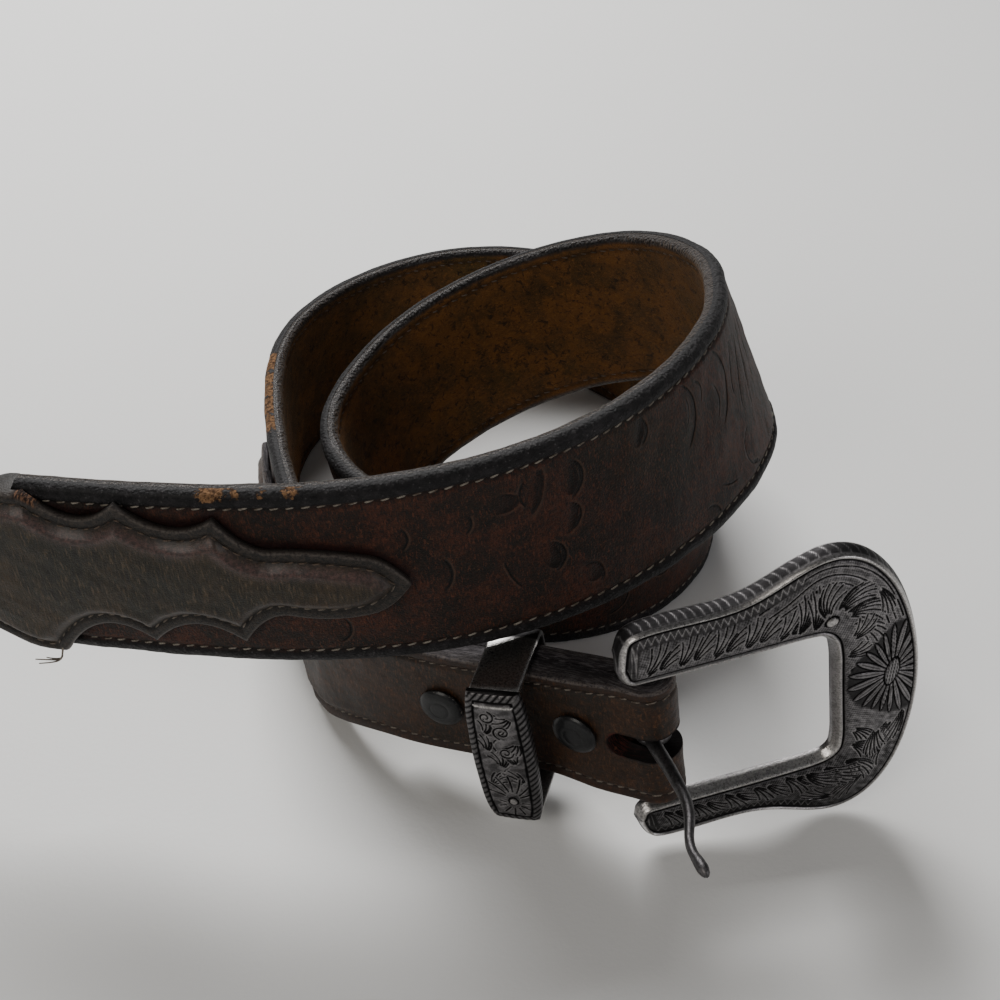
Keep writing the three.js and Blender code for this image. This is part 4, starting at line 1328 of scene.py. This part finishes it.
snap_front, snap_back, cap_depth, socket_depth = 5.25, -3.75, 0.35, 1.6
black_finish = Finish("worn_black_snap", {"Coat Roughness": 0.12, "Specular IOR Level": 0.22})
at = black_finish.node("TexCoord", output=3)
chipped = at.cloud(900, 5, 0.75)
pitted = at.cloud(2600, 3, 0.6)
rubbed_rim = black_finish.attribute("rim")
bare_metal = (chipped + rubbed_rim * 0.17).between(0.76, 0.84)
black_finish.show(
    Base_Color=dyed(
        bare_metal,
        dyed(pitted.between(0.4, 0.7), (0.004, 0.0045, 0.005), (0.012, 0.012, 0.013)),
        (0.22, 0.2, 0.18),
    ),
    Metallic=bare_metal,
    Roughness=0.3 + pitted * 0.18,
    Coat_Weight=0.14 * (1 - bare_metal),
    Normal=raised(pitted * 0.03 + chipped * 0.03 - bare_metal * 0.02),
)
for number, (along, rise) in enumerate(snap_places, 1):
    snap = cylinder(4.25, cap_depth, (0, 0, snap_front + cap_depth / 2))
    bpy.ops.object.transform_apply()
    bpy.ops.object.mode_set(mode="EDIT")
    select_facing(snap, 1, snap_front + cap_depth)
    for inset, lift in (
        (0.22, 0.26), (0.3, 0.2), (0.45, 0.18), (0.55, 0.12), (0.75, 0.06), (0.12, -0.05),
        (0.12, 0.04), (0.5, 0.05), (0.6, 0.02),
    ):
        bpy.ops.mesh.inset(thickness=inset * millimetre, depth=lift * millimetre)
    select_facing(snap, -1, snap_front)
    bpy.ops.mesh.inset(thickness=2.25 * millimetre, depth=0)
    bpy.ops.mesh.extrude_region_move(
        TRANSFORM_OT_translate={"value": (0, 0, (snap_back - snap_front) * millimetre)}
    )
    bpy.ops.object.mode_set(mode="OBJECT")
    socket = cylinder(4.4, socket_depth, (0, 0, snap_back - socket_depth / 2))
    bpy.ops.object.transform_apply()
    bpy.ops.object.mode_set(mode="EDIT")
    select_facing(socket, -1, snap_back - socket_depth)
    for inset, lift in ((0.25, 0), (1.1, 0), (0.3, -0.5), (1.0, 0)):
        bpy.ops.mesh.inset(thickness=inset * millimetre, depth=lift * millimetre)
    bpy.ops.object.mode_set(mode="OBJECT")
    joined(f"snap_cap_{number}", snap, socket)
    rounding = snap.modifiers.new("rounding", "BEVEL")
    rounding.width = 0.14 * millimetre
    rounding.segments = 3
    rounding.limit_method = "ANGLE"
    rounding.angle_limit = math.radians(50)
    bpy.ops.object.modifier_apply(modifier="rounding")
    shape = corners(snap)
    radius = np.hypot(shape[:, 0], shape[:, 1])
    keep(snap, "rim", soft_step(3.4, 4.1, radius) * (shape[:, 2] > snap_front))
    snap.matrix_world = seat_matrix(along, rise)
    bpy.ops.object.transform_apply()
    finished(snap, black_finish, 35)
    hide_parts(f"snap_{number}")
    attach(snap, "strap")


# The keeper: a silver band bent round both layers of the billet, with a domed plate in front,
# engraved with leaves between rope borders and darkened in the cuts.
def bend_through(points, size=0.25):
    """A smooth line through a few places."""
    places = np.asarray(points, float)
    knots = run_along(places)
    at = steps(0, knots[-1], size)
    return np.stack([natural_spline(knots, places[:, k])(at) for k in (0, 1)], 1)


def engraved(x, y, groups, width):
    """How deep a graver has cut at each place and how much the metal stands up beside the cut,
    0 to 1. Each group of lines covers those before it, as one leaf lies over another."""
    places = np.stack([x.ravel(), y.ravel()], 1)
    to_cut = np.full(len(places), 9.0)
    for lines in groups:
        gap = np.full(len(places), 9.0)
        for line in lines:
            low, high = line.min(0) - 0.8, line.max(0) + 0.8
            near = ((places > low) & (places < high)).all(1)
            if near.any():
                gap[near] = np.minimum(gap[near], distance_to_line(places[near], line))
        to_cut = np.where(gap < 0.42, gap, to_cut)
    to_cut = to_cut.reshape(x.shape)
    return ridge(to_cut, 0, width), ridge(to_cut, 0.27, 0.1)


def plume(base, heading, length, count, fan, curl, clear=0.9):
    """Cuts of one plume: strokes that spread from a place and curl the same way."""
    lines = []
    for k in range(count):
        share = k / (count - 1)
        reach = length * (0.62 + 0.38 * math.sin(math.pi * (0.15 + 0.75 * share)))
        along_stroke = np.linspace(0, 1, 9)
        turn = np.radians(heading + fan * (share - 0.5) + curl * along_stroke)
        path = np.cumsum(np.stack([np.cos(turn), np.sin(turn)], 1) * reach / 8, 0)
        lines.append(np.array(base, float) + path[np.hypot(*path.T) > clear])
    return lines


def plumes_of(*rows):
    """A plume for each row: its place's two numbers and what else plume asks for."""
    return [plume(row[:2], *row[2:]) for row in rows]


def scroll(middle, radius, start, turns=1.4):
    """A cut that winds inwards."""
    share = np.linspace(0, 1, 26)
    turn = math.radians(start) + share * turns * 2 * math.pi
    reach = radius * (1 - 0.8 * share)
    return np.array(middle, float) + np.stack([np.cos(turn), np.sin(turn)], 1) * reach[:, None]


# Silver gone dark: black in the cuts and low places, rubbed bright on what stands out; these two
# values also carry painted highlights and painted shade on some pieces
silver = Finish("engraved_silver", {"Metallic": 1.0})
at = silver.attribute("flat", "Vector")
patina_and_shade = silver.attribute("patina_and_shade")
polish_and_highlight = silver.attribute("polish_and_highlight")
tarnish = at.cloud(0.6, 5, 0.7, 0.4)
fine = at.cloud(2.6, 4, 0.7)
scratch = at.scaled(0.25, 5.5).cloud(1, 4, 0.7, 0.3)
silver.show(
    Base_Color=layered(
        dyed(tarnish.between(0.38, 0.66), (0.2, 0.192, 0.196), (0.125, 0.12, 0.124)),
        (fine.between(0.52, 0.36) * 0.5, (0.035, 0.033, 0.034)),
        (polish_and_highlight, dyed(fine.between(0.4, 0.6), (0.34, 0.33, 0.32), (0.62, 0.6, 0.58))),
        (patina_and_shade.between(0.08, 0.75), (0.01, 0.0095, 0.01)),
    ),
    Roughness=0.2 + tarnish * 0.16 + fine * 0.1 + patina_and_shade * 0.35 - polish_and_highlight * 0.06,
    Normal=raised(scratch * 0.02 + fine * 0.035 + tarnish * 0.05),
)

plate_low, plate_high, plate_depth = -18.2, 14.2, 11.4
plate_rows = np.array([
    (plate_low, 4.3, 1.3), (-16, 4.9, 1.9), (-9, 5.6, 2.3), (-2, 5.8, 2.4), (6, 5.6, 2.3),
    (12.2, 5.1, 1.9), (plate_high, 4.7, 1.3),
])
plate_half = natural_spline(plate_rows[:, 0], plate_rows[:, 1])
plate_dome = steady_curve(plate_rows[:, 0], plate_rows[:, 2])
plate_rise = np.r_[plate_low, -18.1, steps(-17.9, 13.9, 0.17), 14.1, plate_high]
share = np.r_[-1, -0.985, np.linspace(-0.96, 0.96, 58), 0.985, 1]
u, v = np.meshgrid(plate_rise, share, indexing="ij")
half_here = plate_half(u)
side_mm = v * half_here
to_side, to_end = half_here * (1 - abs(v)), np.minimum(u - plate_low, plate_high - u)
inward = np.minimum(to_side, to_end)
section = 1 - 0.1 * (abs(v) / 0.72) ** 2
past_side = np.maximum((abs(v) - 0.72) / 0.28, 0)
section = np.where(past_side > 0, 0.9 - 0.3 * past_side**1.6, section)
border = 1 - soft_step(1.3, 1.5, inward)
rope_run = np.where(to_end < to_side, side_mm, u * np.sign(side_mm))
rope = np.abs(np.sin((rope_run + inward * 0.9) * math.pi / 1.3))
across_rope = np.sqrt(np.clip(1 - ((inward - 0.7) / 0.66) ** 2, 0, 1))
top_line = ridge(plate_high - u, 2.5, 0.22) * (inward > 1.5)
keeper_cuts = [
    [bend_through([(-9.6, 0.4), (-5.5, -1), (-2, 1.2), (2.4, -1.2), (6.6, 1.6), (10.6, -0.6)])],
    *plumes_of(
        (-8.6, -2.8, 15, 4.6, 4, 50, 45), (-7.8, 3.4, -20, 4.6, 4, 50, -45),
        (-3.4, -0.8, 40, 4.2, 5, 70, -70), (-2.4, 3.2, -50, 4.2, 4, 50, 60),
        (0.4, -3, 35, 4.2, 4, 50, -60), (3.8, 3.2, 175, 4, 4, 60, 60),
        (5, -3, 60, 4, 4, 50, -75), (9.8, 2.9, 205, 4.2, 4, 60, 60),
    ),
    [scroll((5.8, 0.9), 1.7, 200)], [scroll((9.2, -1.6), 1.5, 20)], [scroll((0.8, 1), 1.4, 90)],
    *plumes_of((-11.6, 0.5, 8, 5.6, 7, 130, -20, 1.4), (-12.8, 0.5, 180, 3.2, 7, 190, 10, 1.4)),
]
flower_reach = np.hypot(side_mm - 0.5, (u + 12.2) * 0.9)
in_flower = flower_reach < 0.75
graved, stands = engraved(u, side_mm, keeper_cuts, 0.12)
inner_plate = (1 - border) * (inward > 1.9) * (1 - in_flower)
graved, stands = graved * inner_plate, stands * inner_plate
graved = np.maximum(graved, ridge(flower_reach, 0.85, 0.14))
frame_line = ridge(inward, 1.62, 0.16)
ground = (1 - border) * soft_step(0.6, -0.6, wave(u, side_mm, 41, 2.6)) * (1 - in_flower)
height = (
    plate_dome(u) * section
    + border * (0.24 * across_rope * (0.3 + 0.7 * rope) - 0.1)
    + 0.14 * top_line + 0.2 * in_flower
    - 0.2 * graved - 0.25 * frame_line - 0.05 * ground
)
patina_and_shade = np.clip(
    graved * 0.85 + frame_line + border * (0.2 + 0.5 * (1 - rope) ** 1.5) + 0.16 + 0.3 * ground
    - 0.3 * stands,
    0, 1,
) * (1 - top_line)
polish_and_highlight = np.clip(
    top_line + border * rope**3 * across_rope * 0.12 + 0.5 * in_flower + 0.14 * stands, 0, 1
)
plate_points = np.stack([u, plate_depth + height, side_mm], -1)
skirt = np.stack([u, np.full_like(u, plate_depth), side_mm], -1)


def with_skirt(front, low, middle):
    """The front's columns, its two edges taken down, and the back through the middle."""
    return np.concatenate([low[:, :1], front, low[:, -1:], middle, low[:, :1]], 1)


plate_points = with_skirt(plate_points, skirt, skirt[:, 30:31])
patina_and_shade = with_skirt(patina_and_shade, patina_and_shade, patina_and_shade[:, 30:31] * 0)
polish_and_highlight = with_skirt(polish_and_highlight, polish_and_highlight, polish_and_highlight[:, 30:31] * 0)


keeper_along, keeper_yaw = 868.5, 8


def keeper_place(points):
    """From the keeper's own rise, outward and forward to the belt."""
    point, forward, up, outward = (part[0] for part in belt_frame([keeper_along]))
    yaw = math.radians(keeper_yaw)
    turned_out = outward * math.cos(yaw) + np.cross(up, outward) * math.sin(yaw)
    turned_on = forward * math.cos(yaw) + np.cross(up, forward) * math.sin(yaw)
    return (
        point + points[..., :1] * up + points[..., 1:2] * turned_out + points[..., 2:] * turned_on
    )


keeper_plate = formed(
    "keeper_plate", keeper_place(plate_points),
    {"flat": plate_points, "patina_and_shade": patina_and_shade, "polish_and_highlight": polish_and_highlight},
)
# The band's bends are turned round four places; loop holds their place and the way outwards
room_back, bend_radius = -4.6, 1.2
bend_low, bend_high = -16.9 + bend_radius, 12.9 - bend_radius
bend_back, bend_front = room_back + bend_radius, plate_depth - bend_radius
loop = []
for x, y, start in (
    (bend_high, bend_front, 0), (bend_low, bend_front, 90), (bend_low, bend_back, 180),
    (bend_high, bend_back, 270),
):
    for turn_here in np.radians(steps(0, 90, 9)) + math.radians(start):
        loop.append((x, y, math.cos(turn_here), math.sin(turn_here)))
# Two more rows at the back bound the painted shade there
loop += [(bend_high, room_back + y, 1.0, 0.0) for y in (2.4, 3.4)] + loop[:1]
band_section = [
    (bend_radius, -4.2), (bend_radius, 0), (bend_radius, 4.2), (1.5, 4.5), (2.1, 4.5),
    (2.35, 4.35), (2.5, 4), (2.55, 2), (2.57, 0), (2.55, -2), (2.5, -4), (2.35, -4.35),
    (2.1, -4.5), (1.5, -4.5), (bend_radius, -4.2),
]
band_points = []
for x, y, cos, sin in loop:
    wall = []
    for out, z in band_section:
        thinned = 0.62 if sin > 0.7 and abs(cos) < 0.7 else 0.95
        reach = bend_radius + (out - bend_radius) * thinned
        wall.append((x + cos * reach, y + sin * reach, z))
    band_points.append(wall)
band_points = np.array(band_points)
# The band's side edges and its front-top bend are painted bright as highlights; its back is
# painted dark as shade
band_edge_highlight = soft_step(3.7, 4.35, abs(band_points[..., 2]))
bend_highlight = np.array([cos > 0.35 and sin > 0.35 for _, _, cos, sin in loop])[:, None]
band_edge_highlight = np.maximum(band_edge_highlight, 0.8 * bend_highlight)
painted_shade_behind = np.array([1.0 if y < room_back + 2.5 else 0.0 for _, y, _, _ in loop])[:, None]
band_edge_highlight = band_edge_highlight * (1 - 0.9 * painted_shade_behind)
keeper_band = formed(
    "keeper_band", keeper_place(band_points),
    {"flat": band_points, "patina_and_shade": 0.05 * (1 - band_edge_highlight) + 0.55 * painted_shade_behind,
     "polish_and_highlight": (0.75 + 0.25 * band_edge_highlight) * (1 - painted_shade_behind)},
    close_ends=False,
)
keeper = joined("keeper_loop", keeper_plate, keeper_band)
finished(keeper, silver, 45)
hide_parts("keeper")
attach(keeper, "keeper")


# The buckle frame: a cast silver C with its bar, domed in front and dished behind. Its rim is cut
# with slanting ticks, inside it run a bright bead and a zigzag, then plumes and one big daisy.
frame_rows = np.array([
    (-5.7, 18, -5.2, 20.4, 0.6), (-5.1, 15.8, -4.2, 23.2, 0.8), (-2.8, 14.5, -1.2, 25.2, 1),
    (6, 14.4, 7, 25.4, 1), (16, 14.4, 15.6, 25.5, 1), (24, 14.4, 23, 27.8, 1),
    (29.6, 14.1, 31, 30.7, 1), (31.8, 12.2, 38.7, 28.9, 1), (32.2, 8, 44.6, 21.8, 1),
    (32.2, 4, 48, 11.5, 1), (32.2, 0, 49.2, 0, 1),
])
frame_rows = np.vstack([frame_rows, frame_rows[-2::-1] * (1, -1, 1, -1, 1)])
knots = np.arange(len(frame_rows), dtype=float)
inner_reach, inner_rise = (steady_curve(knots, frame_rows[:, k]) for k in (0, 1))
outer_reach, outer_rise = (natural_spline(knots, frame_rows[:, k]) for k in (2, 3))
fullness = steady_curve(knots, frame_rows[:, 4])
dense = np.linspace(0, knots[-1], 4000)


def over_arm(at, share):
    """Reach and rise at a share of the way from the inner to the outer edge."""
    return (
        inner_reach(at) * (1 - share) + outer_reach(at) * share,
        inner_rise(at) * (1 - share) + outer_rise(at) * share,
    )


middle_line = np.stack(over_arm(dense, 0.65), 1)
middle_run = run_along(middle_line)
arm_run = steps(0, middle_run[-1], 0.18)
arm_at = np.interp(arm_run, middle_run, dense)
cross = np.r_[0, 0.01, 0.03, np.linspace(0.05, 0.97, 84), 0.985, 1]
run_here, v = np.meshgrid(arm_run, cross, indexing="ij")
at_here = by_rows(arm_at, len(cross))
x, y = over_arm(at_here, v)
section_across = np.array([0, 0.05, 0.1, 0.2, 0.5, 0.8, 0.9, 0.97, 1])
section_depth = np.array([2.2, 3.1, 3.6, 3.9, 3.5, 2.5, 2.3, 1.8, 0.6])
plain = steady_curve(section_across, section_depth)(v)
back = 1.2 - 2.2 * v
full = fullness(at_here)
inner_edge, outer_edge = (np.stack(over_arm(dense[::6], share), 1) for share in (0, 1))
outer_edge = np.vstack([inner_edge[:1], outer_edge, inner_edge[-1:]])
from_outer, from_inner = (distance_to_lines(x, y, [edge]) for edge in (outer_edge, inner_edge))


# A bead follows the outer edge round each nose, a second one the inner edge; ticks slant over
# the outer wall and a zigzag runs inside the bead
in_field = (from_inner > 1.0) & (from_outer > 0.9)
tick_pitch = 1.6 - 0.45 * ridge(arm_run[:, None], middle_run[-1] / 2, 24)
tick_turn = np.cumsum(np.gradient(arm_run)[:, None] / tick_pitch, 0)
rim_face = 1 - soft_step(0.3, 0.42, from_outer)
bead = ridge(from_outer, 0.85, 0.34) * (from_inner > 1.0)
bead_side = ridge(from_outer, 1.42, 0.17) * (from_inner > 1.4)
inner_bead = ridge(from_inner, 1.0, 0.42) * (from_outer > 0.9)
inner_groove = ridge(from_inner, 1.75, 0.2) * (from_outer > 1.6)
inner_bevel = (1 - soft_step(0.45, 0.6, from_inner)) * (from_outer > 0.8)
zigzag_at = 2.5 + 0.62 * (2 * np.abs(2 * ((run_here / 1.35) % 1) - 1) - 1)
in_zigzag = soft_step(1.45, 1.6, from_outer) * (1 - soft_step(3.3, 3.6, from_outer))
in_zigzag = in_zigzag * soft_step(1.9, 2.2, from_inner) * (1 - soft_step(27, 30, x))
zigzag = ridge(from_outer, zigzag_at, 0.17) * in_zigzag

# The daisy: long narrow pointed petals round a hatched oval eye
petal_count = 22
daisy_x, daisy_y = (x - 43.2) / 0.76, y - 2.0
daisy_reach, daisy_turn = np.hypot(daisy_x, daisy_y), np.arctan2(daisy_y, daisy_x)
petal_share = (daisy_turn / (2 * math.pi) * petal_count + 0.2) % 1
petal_length = 10.4 - 1.2 * np.cos(daisy_turn * 3)
petal_half = 0.5 * np.clip(1 - (daisy_reach / petal_length) ** 2.2, 0, 1) ** 0.7
arc = 2 * math.pi / petal_count * daisy_reach
petal_gap = (petal_half - abs(petal_share - 0.5)) * arc
eye_x = x - 43.1 - daisy_y * 0.2
eye_reach = np.hypot(eye_x / 1.5, daisy_y / 2.9)
clear_of_rims = soft_step(1.9, 2.2, from_inner) * soft_step(1.5, 1.7, from_outer)
in_petal = soft_step(0, 0.12, petal_gap) * (eye_reach > 1) * clear_of_rims
petal_edge = ridge(petal_gap, 0, 0.11) * (daisy_reach < petal_length + 0.3) * (eye_reach > 1)
flutes = ridge((petal_share - 0.5) * arc, 0, 0.1) * (daisy_reach > 3.6)
flutes = flutes * in_petal * (daisy_reach < petal_length * 0.86)
eye_rim = ridge(eye_reach, 1, 0.08)
in_eye = (eye_reach < 0.95) * clear_of_rims
hatch = ridge(eye_x % 0.62, 0.31, 0.1)
near_daisy = 1 - soft_step(petal_length - 0.6, petal_length + 0.4, daisy_reach)

# Feathered strokes fill each arm, larger leaves the corners, with a bud in the upper corner
feathers = (34, 7.6, 34), (62, 6.4, -36), (40, 7, 28), (58, 7.2, -20)
plumes = []
for side in (1, -1):
    for k in range(10):
        heading, length, curl = feathers[k % len(feathers)]
        feather = plume((-2.0 + 2.9 * k, 16.1), heading, length, 4, 26, curl, 1.5)
        plumes.append([stroke * (1, side) for stroke in feather])
plumes += [
    [bend_through(stem)] for stem in (
        ((19.5, 22.6), (24, 24.8), (31, 28.2), (38, 26.4), (43.4, 19.6), (45.4, 13.6)),
        ((21, 21.6), (25, 23.6), (31.5, 26.8), (37.2, 24.8), (42.2, 18.6), (44, 13.4)),
        ((23, 21.4), (27, 23.4), (32, 25.4), (36.6, 23.2), (41, 17.8), (42.6, 13.2)),
    )
]
plumes += plumes_of(
    (25.4, 16.4, 50, 8.4, 6, 30, 34), (28.4, 16.2, 66, 8.6, 6, 36, 20),
    (31.6, 18.2, 118, 7, 6, 50, -70, 1), (33, 18.6, 62, 7.6, 7, 50, -66, 1.2),
    (33.6, 17.8, 22, 8.6, 7, 46, -58, 1.5), (34.6, 15.6, -6, 7.6, 6, 44, -48, 1.2),
    (40.4, 21.8, -50, 6.4, 5, 30, -30), (35, 12.6, 20, 5.6, 5, 50, 40),
    (43.6, -9.8, 228, 7, 6, 46, 34), (34.8, -8.6, -34, 7.2, 6, 44, -36),
    (34.6, -12.6, -22, 8, 7, 46, -42), (42.4, -15.6, 214, 7.6, 6, 40, 40),
    (33.4, -16.4, -30, 8.4, 7, 46, -40), (38.4, -22.4, 196, 7.4, 6, 40, 36),
    (29.6, -16.4, -56, 8.6, 7, 46, 34), (32.8, -26.4, 172, 7, 5, 34, -30),
    (26, -16.6, -52, 8, 6, 40, 34), (45.8, -8.2, 262, 7.6, 5, 30, -26),
    (40.6, -10.4, 248, 6.8, 6, 44, 30), (34, 9.6, -16, 4.6, 5, 50, 40),
    (34.2, 5, 14, 4.4, 5, 50, -36),
)
bud_reach = np.hypot((x - 31.8) * 0.9 - (y - 17.9) * 0.3, (y - 17.9) * 1.15)
in_bud = bud_reach < 0.95
field = in_field * soft_step(1.95, 2.2, from_inner) * soft_step(1.5, 1.7, from_outer)
field = field * (1 - in_zigzag) * (1 - near_daisy)
leaves, stands = engraved(x, y, plumes, 0.11)
leaves, stands = leaves * field * (1 - in_bud), stands * field * (1 - in_bud)
bud_edge = ridge(bud_reach, 1.05, 0.13)
stipple = np.sin((x + 0.3 * y) * 9.4) * np.sin((y - 0.3 * x) * 9.4)
ground = field * np.clip(0.62 + 0.5 * stipple + 0.2 * wave(x, y, 51, 1.6), 0, 1) * (1 - in_bud)
gaps = near_daisy * clear_of_rims * (1 - in_petal) * (eye_reach > 1)
shaded_arm = soft_step(-13.5, -16, y) * in_field

# The noses are rounded off like a thumb's end
to_nose = np.minimum(run_here, middle_run[-1] - run_here)
nose_round = np.sqrt(1 - (1 - np.clip(to_nose / 2.2, 0, 1)) ** 2)
full = full * (0.5 + 0.5 * nose_round)
raised_share = 0.35 * (1 - nose_round)
depth_front = (
    plain
    + 0.36 * bead - 0.26 * bead_side
    + 0.3 * inner_bead - 0.4 * inner_groove
    - 0.16 * zigzag - 0.1 * in_zigzag
    - 0.2 * leaves + 0.05 * stands - 0.06 * ground + 0.3 * in_bud - 0.2 * bud_edge
    + 0.16 * in_petal - 0.22 * petal_edge * near_daisy * clear_of_rims - 0.14 * flutes
    - 0.22 * eye_rim * clear_of_rims + 0.3 * in_eye - 0.16 * in_eye * hatch
)
depth_front = back + (depth_front - back) * full
raised_back = raised_share * (depth_front - back)
back = back + raised_back
depth_front = np.maximum(depth_front, back + 0.15)
patina_and_shade = np.clip(
    bead_side + inner_groove + in_zigzag * 0.52 * (1 - zigzag)
    + leaves * 0.75 + ground * 0.55 - 0.35 * stands + bud_edge + 0.14 * shaded_arm
    + (petal_edge * near_daisy + eye_rim) * clear_of_rims + flutes * 0.5 + gaps * 0.6
    + 0.16 * in_petal + in_eye * hatch,
    0, 1,
) * (1 - np.clip(bead + inner_bead, 0, 1))
# The lower arm's inner bead and bevel face up and are painted brighter as reflection
painted_light_facing_up = soft_step(-8, -12, y)
polish_and_highlight = np.clip(
    0.8 * bead + (0.5 + 0.4 * painted_light_facing_up) * inner_bead + 0.3 * zigzag + 0.5 * in_bud
    + 0.14 * stands + inner_bevel * (0.1 + 0.5 * painted_light_facing_up),
    0, 1,
)

# The outer wall, rounded a little, from the front edge down to the back
wall_share = np.array([0.02, 0.12, 0.25, 0.4, 0.55, 0.7, 0.82, 0.92])[None]
wall_depth = depth_front[:, -1:] + (back[:, -1:] - depth_front[:, -1:]) * wall_share
edge_heading = unit(np.gradient(np.stack([x[:, -1], y[:, -1]], 1), axis=0))
bulge = 0.12 * np.sin(wall_share * math.pi)
wall_x = x[:, -1:] - edge_heading[:, 1:] * bulge
wall_y = y[:, -1:] + edge_heading[:, :1] * bulge


def ticks_at(way):
    """Slanting ticks on the outer wall; way runs from the front edge down."""
    return ridge((tick_turn + way * 0.34) % 1, 0.5, 0.12 / tick_pitch)


wall_way = (depth_front[:, -1:] - wall_depth) + 0.9
wall_tick = ticks_at(wall_way)
front_tick = ticks_at(np.maximum(0.9 - from_outer * 1.6, 0)) * rim_face
# A bright line painted along the outer wall's back edge as a highlight
edge_highlight_line = soft_step(0.8, 0.9, wall_share)
patina_and_shade = np.maximum(patina_and_shade, rim_face * 0.62) * (1 - 0.6 * front_tick)
patina_and_shade = np.concatenate([patina_and_shade, 0.62 * (1 - 0.6 * wall_tick) * (1 - edge_highlight_line)], 1)
polish_and_highlight = np.maximum(polish_and_highlight * (1 - rim_face), front_tick * 0.12)
polish_and_highlight = np.concatenate([polish_and_highlight, np.maximum(wall_tick * 0.12, edge_highlight_line * 0.45)], 1)
back_rows = np.array([1.0, 0.75, 0.5, 0.25, 0.0])
back_v = np.repeat(back_rows[None], len(arm_run), 0)
back_at = by_rows(arm_at, 5)
back_x, back_y = over_arm(back_at, back_v)
back_z = 1.2 - 2.2 * back_v + 0.25 * np.sin(back_v * math.pi) * fullness(back_at)
back_z = back_z + raised_back[:, [int(np.argmin(abs(cross - row))) for row in back_rows]]
frame_points = np.concatenate([
    np.stack([x, y, depth_front], -1), np.stack([wall_x, wall_y, wall_depth], -1),
    np.stack([back_x, back_y, back_z], -1),
    np.stack([x[:, :1], y[:, :1], depth_front[:, :1]], -1),
], 1)
patina_and_shade, polish_and_highlight = (
    np.concatenate([layer, np.zeros(back_x.shape), layer[:, :1]], 1) for layer in (patina_and_shade, polish_and_highlight)
)
buckle_turn = 44.5


def on_bar(points, turn, sideways=0.0):
    """From a piece's own reach, rise and front to its place on the bar, turned by degrees."""
    cos, sin = math.cos(math.radians(turn)), math.sin(math.radians(turn))
    along_arm = bar_forward * cos - bar_outward * sin
    front = bar_forward * sin + bar_outward * cos
    return (
        bar_centre + points[..., :1] * along_arm + (points[..., 1:2] + sideways) * bar_up
        + points[..., 2:] * front
    )


def plain_silver(points, patina_and_shade):
    """What the silver's finish reads, on a piece without cuts."""
    shape = points.shape[:-1]
    return {"flat": points, "patina_and_shade": np.full(shape, patina_and_shade), "polish_and_highlight": np.zeros(shape)}


buckle_body = formed(
    "buckle_body", on_bar(frame_points, buckle_turn),
    {"flat": frame_points, "patina_and_shade": patina_and_shade, "polish_and_highlight": polish_and_highlight},
)
bar = cylinder(1.5, 36, (0, 0, 0), upright, 32)
bpy.ops.object.transform_apply()
neck_start, neck_end = 14.6, 15.5
ringed((-neck_end, -neck_start, neck_start, neck_end), (0, 1, 0))
bar_shape = corners(bar)
bar_shape[:, ::2] *= 1 + 0.25 * soft_step(neck_start, neck_end, abs(bar_shape[:, 1:2]))
for label, value in plain_silver(bar_shape, 0.15).items():
    keep(bar, label, value)
reshape(bar, on_bar(bar_shape, buckle_turn))
buckle = joined("buckle_casting", buckle_body, bar)
finished(buckle, silver, 60)
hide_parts("buckle_frame")
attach(buckle, "buckle")


# The prong: a forged silver pin, its flat end rolled into an eye round the bar, bent down and up
# again along its length and ending in a small flattened ball.
prong_rows = np.array([
    (2.4, 0.9, 2.5, 2.4), (4.8, 0.5, 2.5, 2.6), (9, -0.3, 2.4, 2.4), (13, -0.9, 2.3, 2.2),
    (17.5, -1.3, 2.1, 2), (21.5, -0.8, 2, 1.8), (25.5, 0.3, 1.8, 1.6), (28.2, 0.4, 1.7, 1.6),
    (30.0, 0.05, 2.1, 1.9), (31.4, -0.2, 2.3, 2.0), (32.6, -0.45, 1.6, 1.4),
    (33.1, -0.55, 0.7, 0.6),
])
prong_knots = run_along(prong_rows[:, :2])
prong_run = steps(0, prong_knots[-1], 0.35)
centre_x, centre_z = (natural_spline(prong_knots, prong_rows[:, k])(prong_run) for k in (0, 1))
prong_width, prong_thick = (steady_curve(prong_knots, prong_rows[:, k])(prong_run) for k in (2, 3))
slope = unit(np.stack([np.gradient(centre_x), np.gradient(centre_z)], 1))
circle = np.linspace(0, 2 * math.pi, 25)
lift = np.cos(circle)[None] * prong_thick[:, None] / 2
aside = np.sin(circle)[None] * prong_width[:, None] / 2
prong_points = np.stack([
    centre_x[:, None] - slope[:, 1:] * lift, aside, centre_z[:, None] + slope[:, :1] * lift,
], -1)
prong_turn, prong_rise = buckle_turn - 94, 0.5
pin = formed(
    "pin", on_bar(prong_points, prong_turn, prong_rise), plain_silver(prong_points, 0.38)
)
ring_turn = np.linspace(0, 2 * math.pi, 49)
ring_section = [
    (1.8, -1.0), (1.95, -1.2), (2.5, -1.27), (3.1, -1.2), (3.3, -0.9), (3.34, 0), (3.3, 0.9),
    (3.1, 1.2), (2.5, 1.27), (1.95, 1.2), (1.8, 1.0), (1.8, -1.0),
]
ring_points = np.array([
    [(r * math.cos(a), w, r * math.sin(a)) for r, w in ring_section] for a in ring_turn
])
eye = formed(
    "eye", on_bar(ring_points, prong_turn, prong_rise), plain_silver(ring_points, 0.2),
    close_ends=False,
)
prong = joined("prong_pin", pin, eye)
finished(prong, silver, 60)
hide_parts("prong")
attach(prong, "prong")
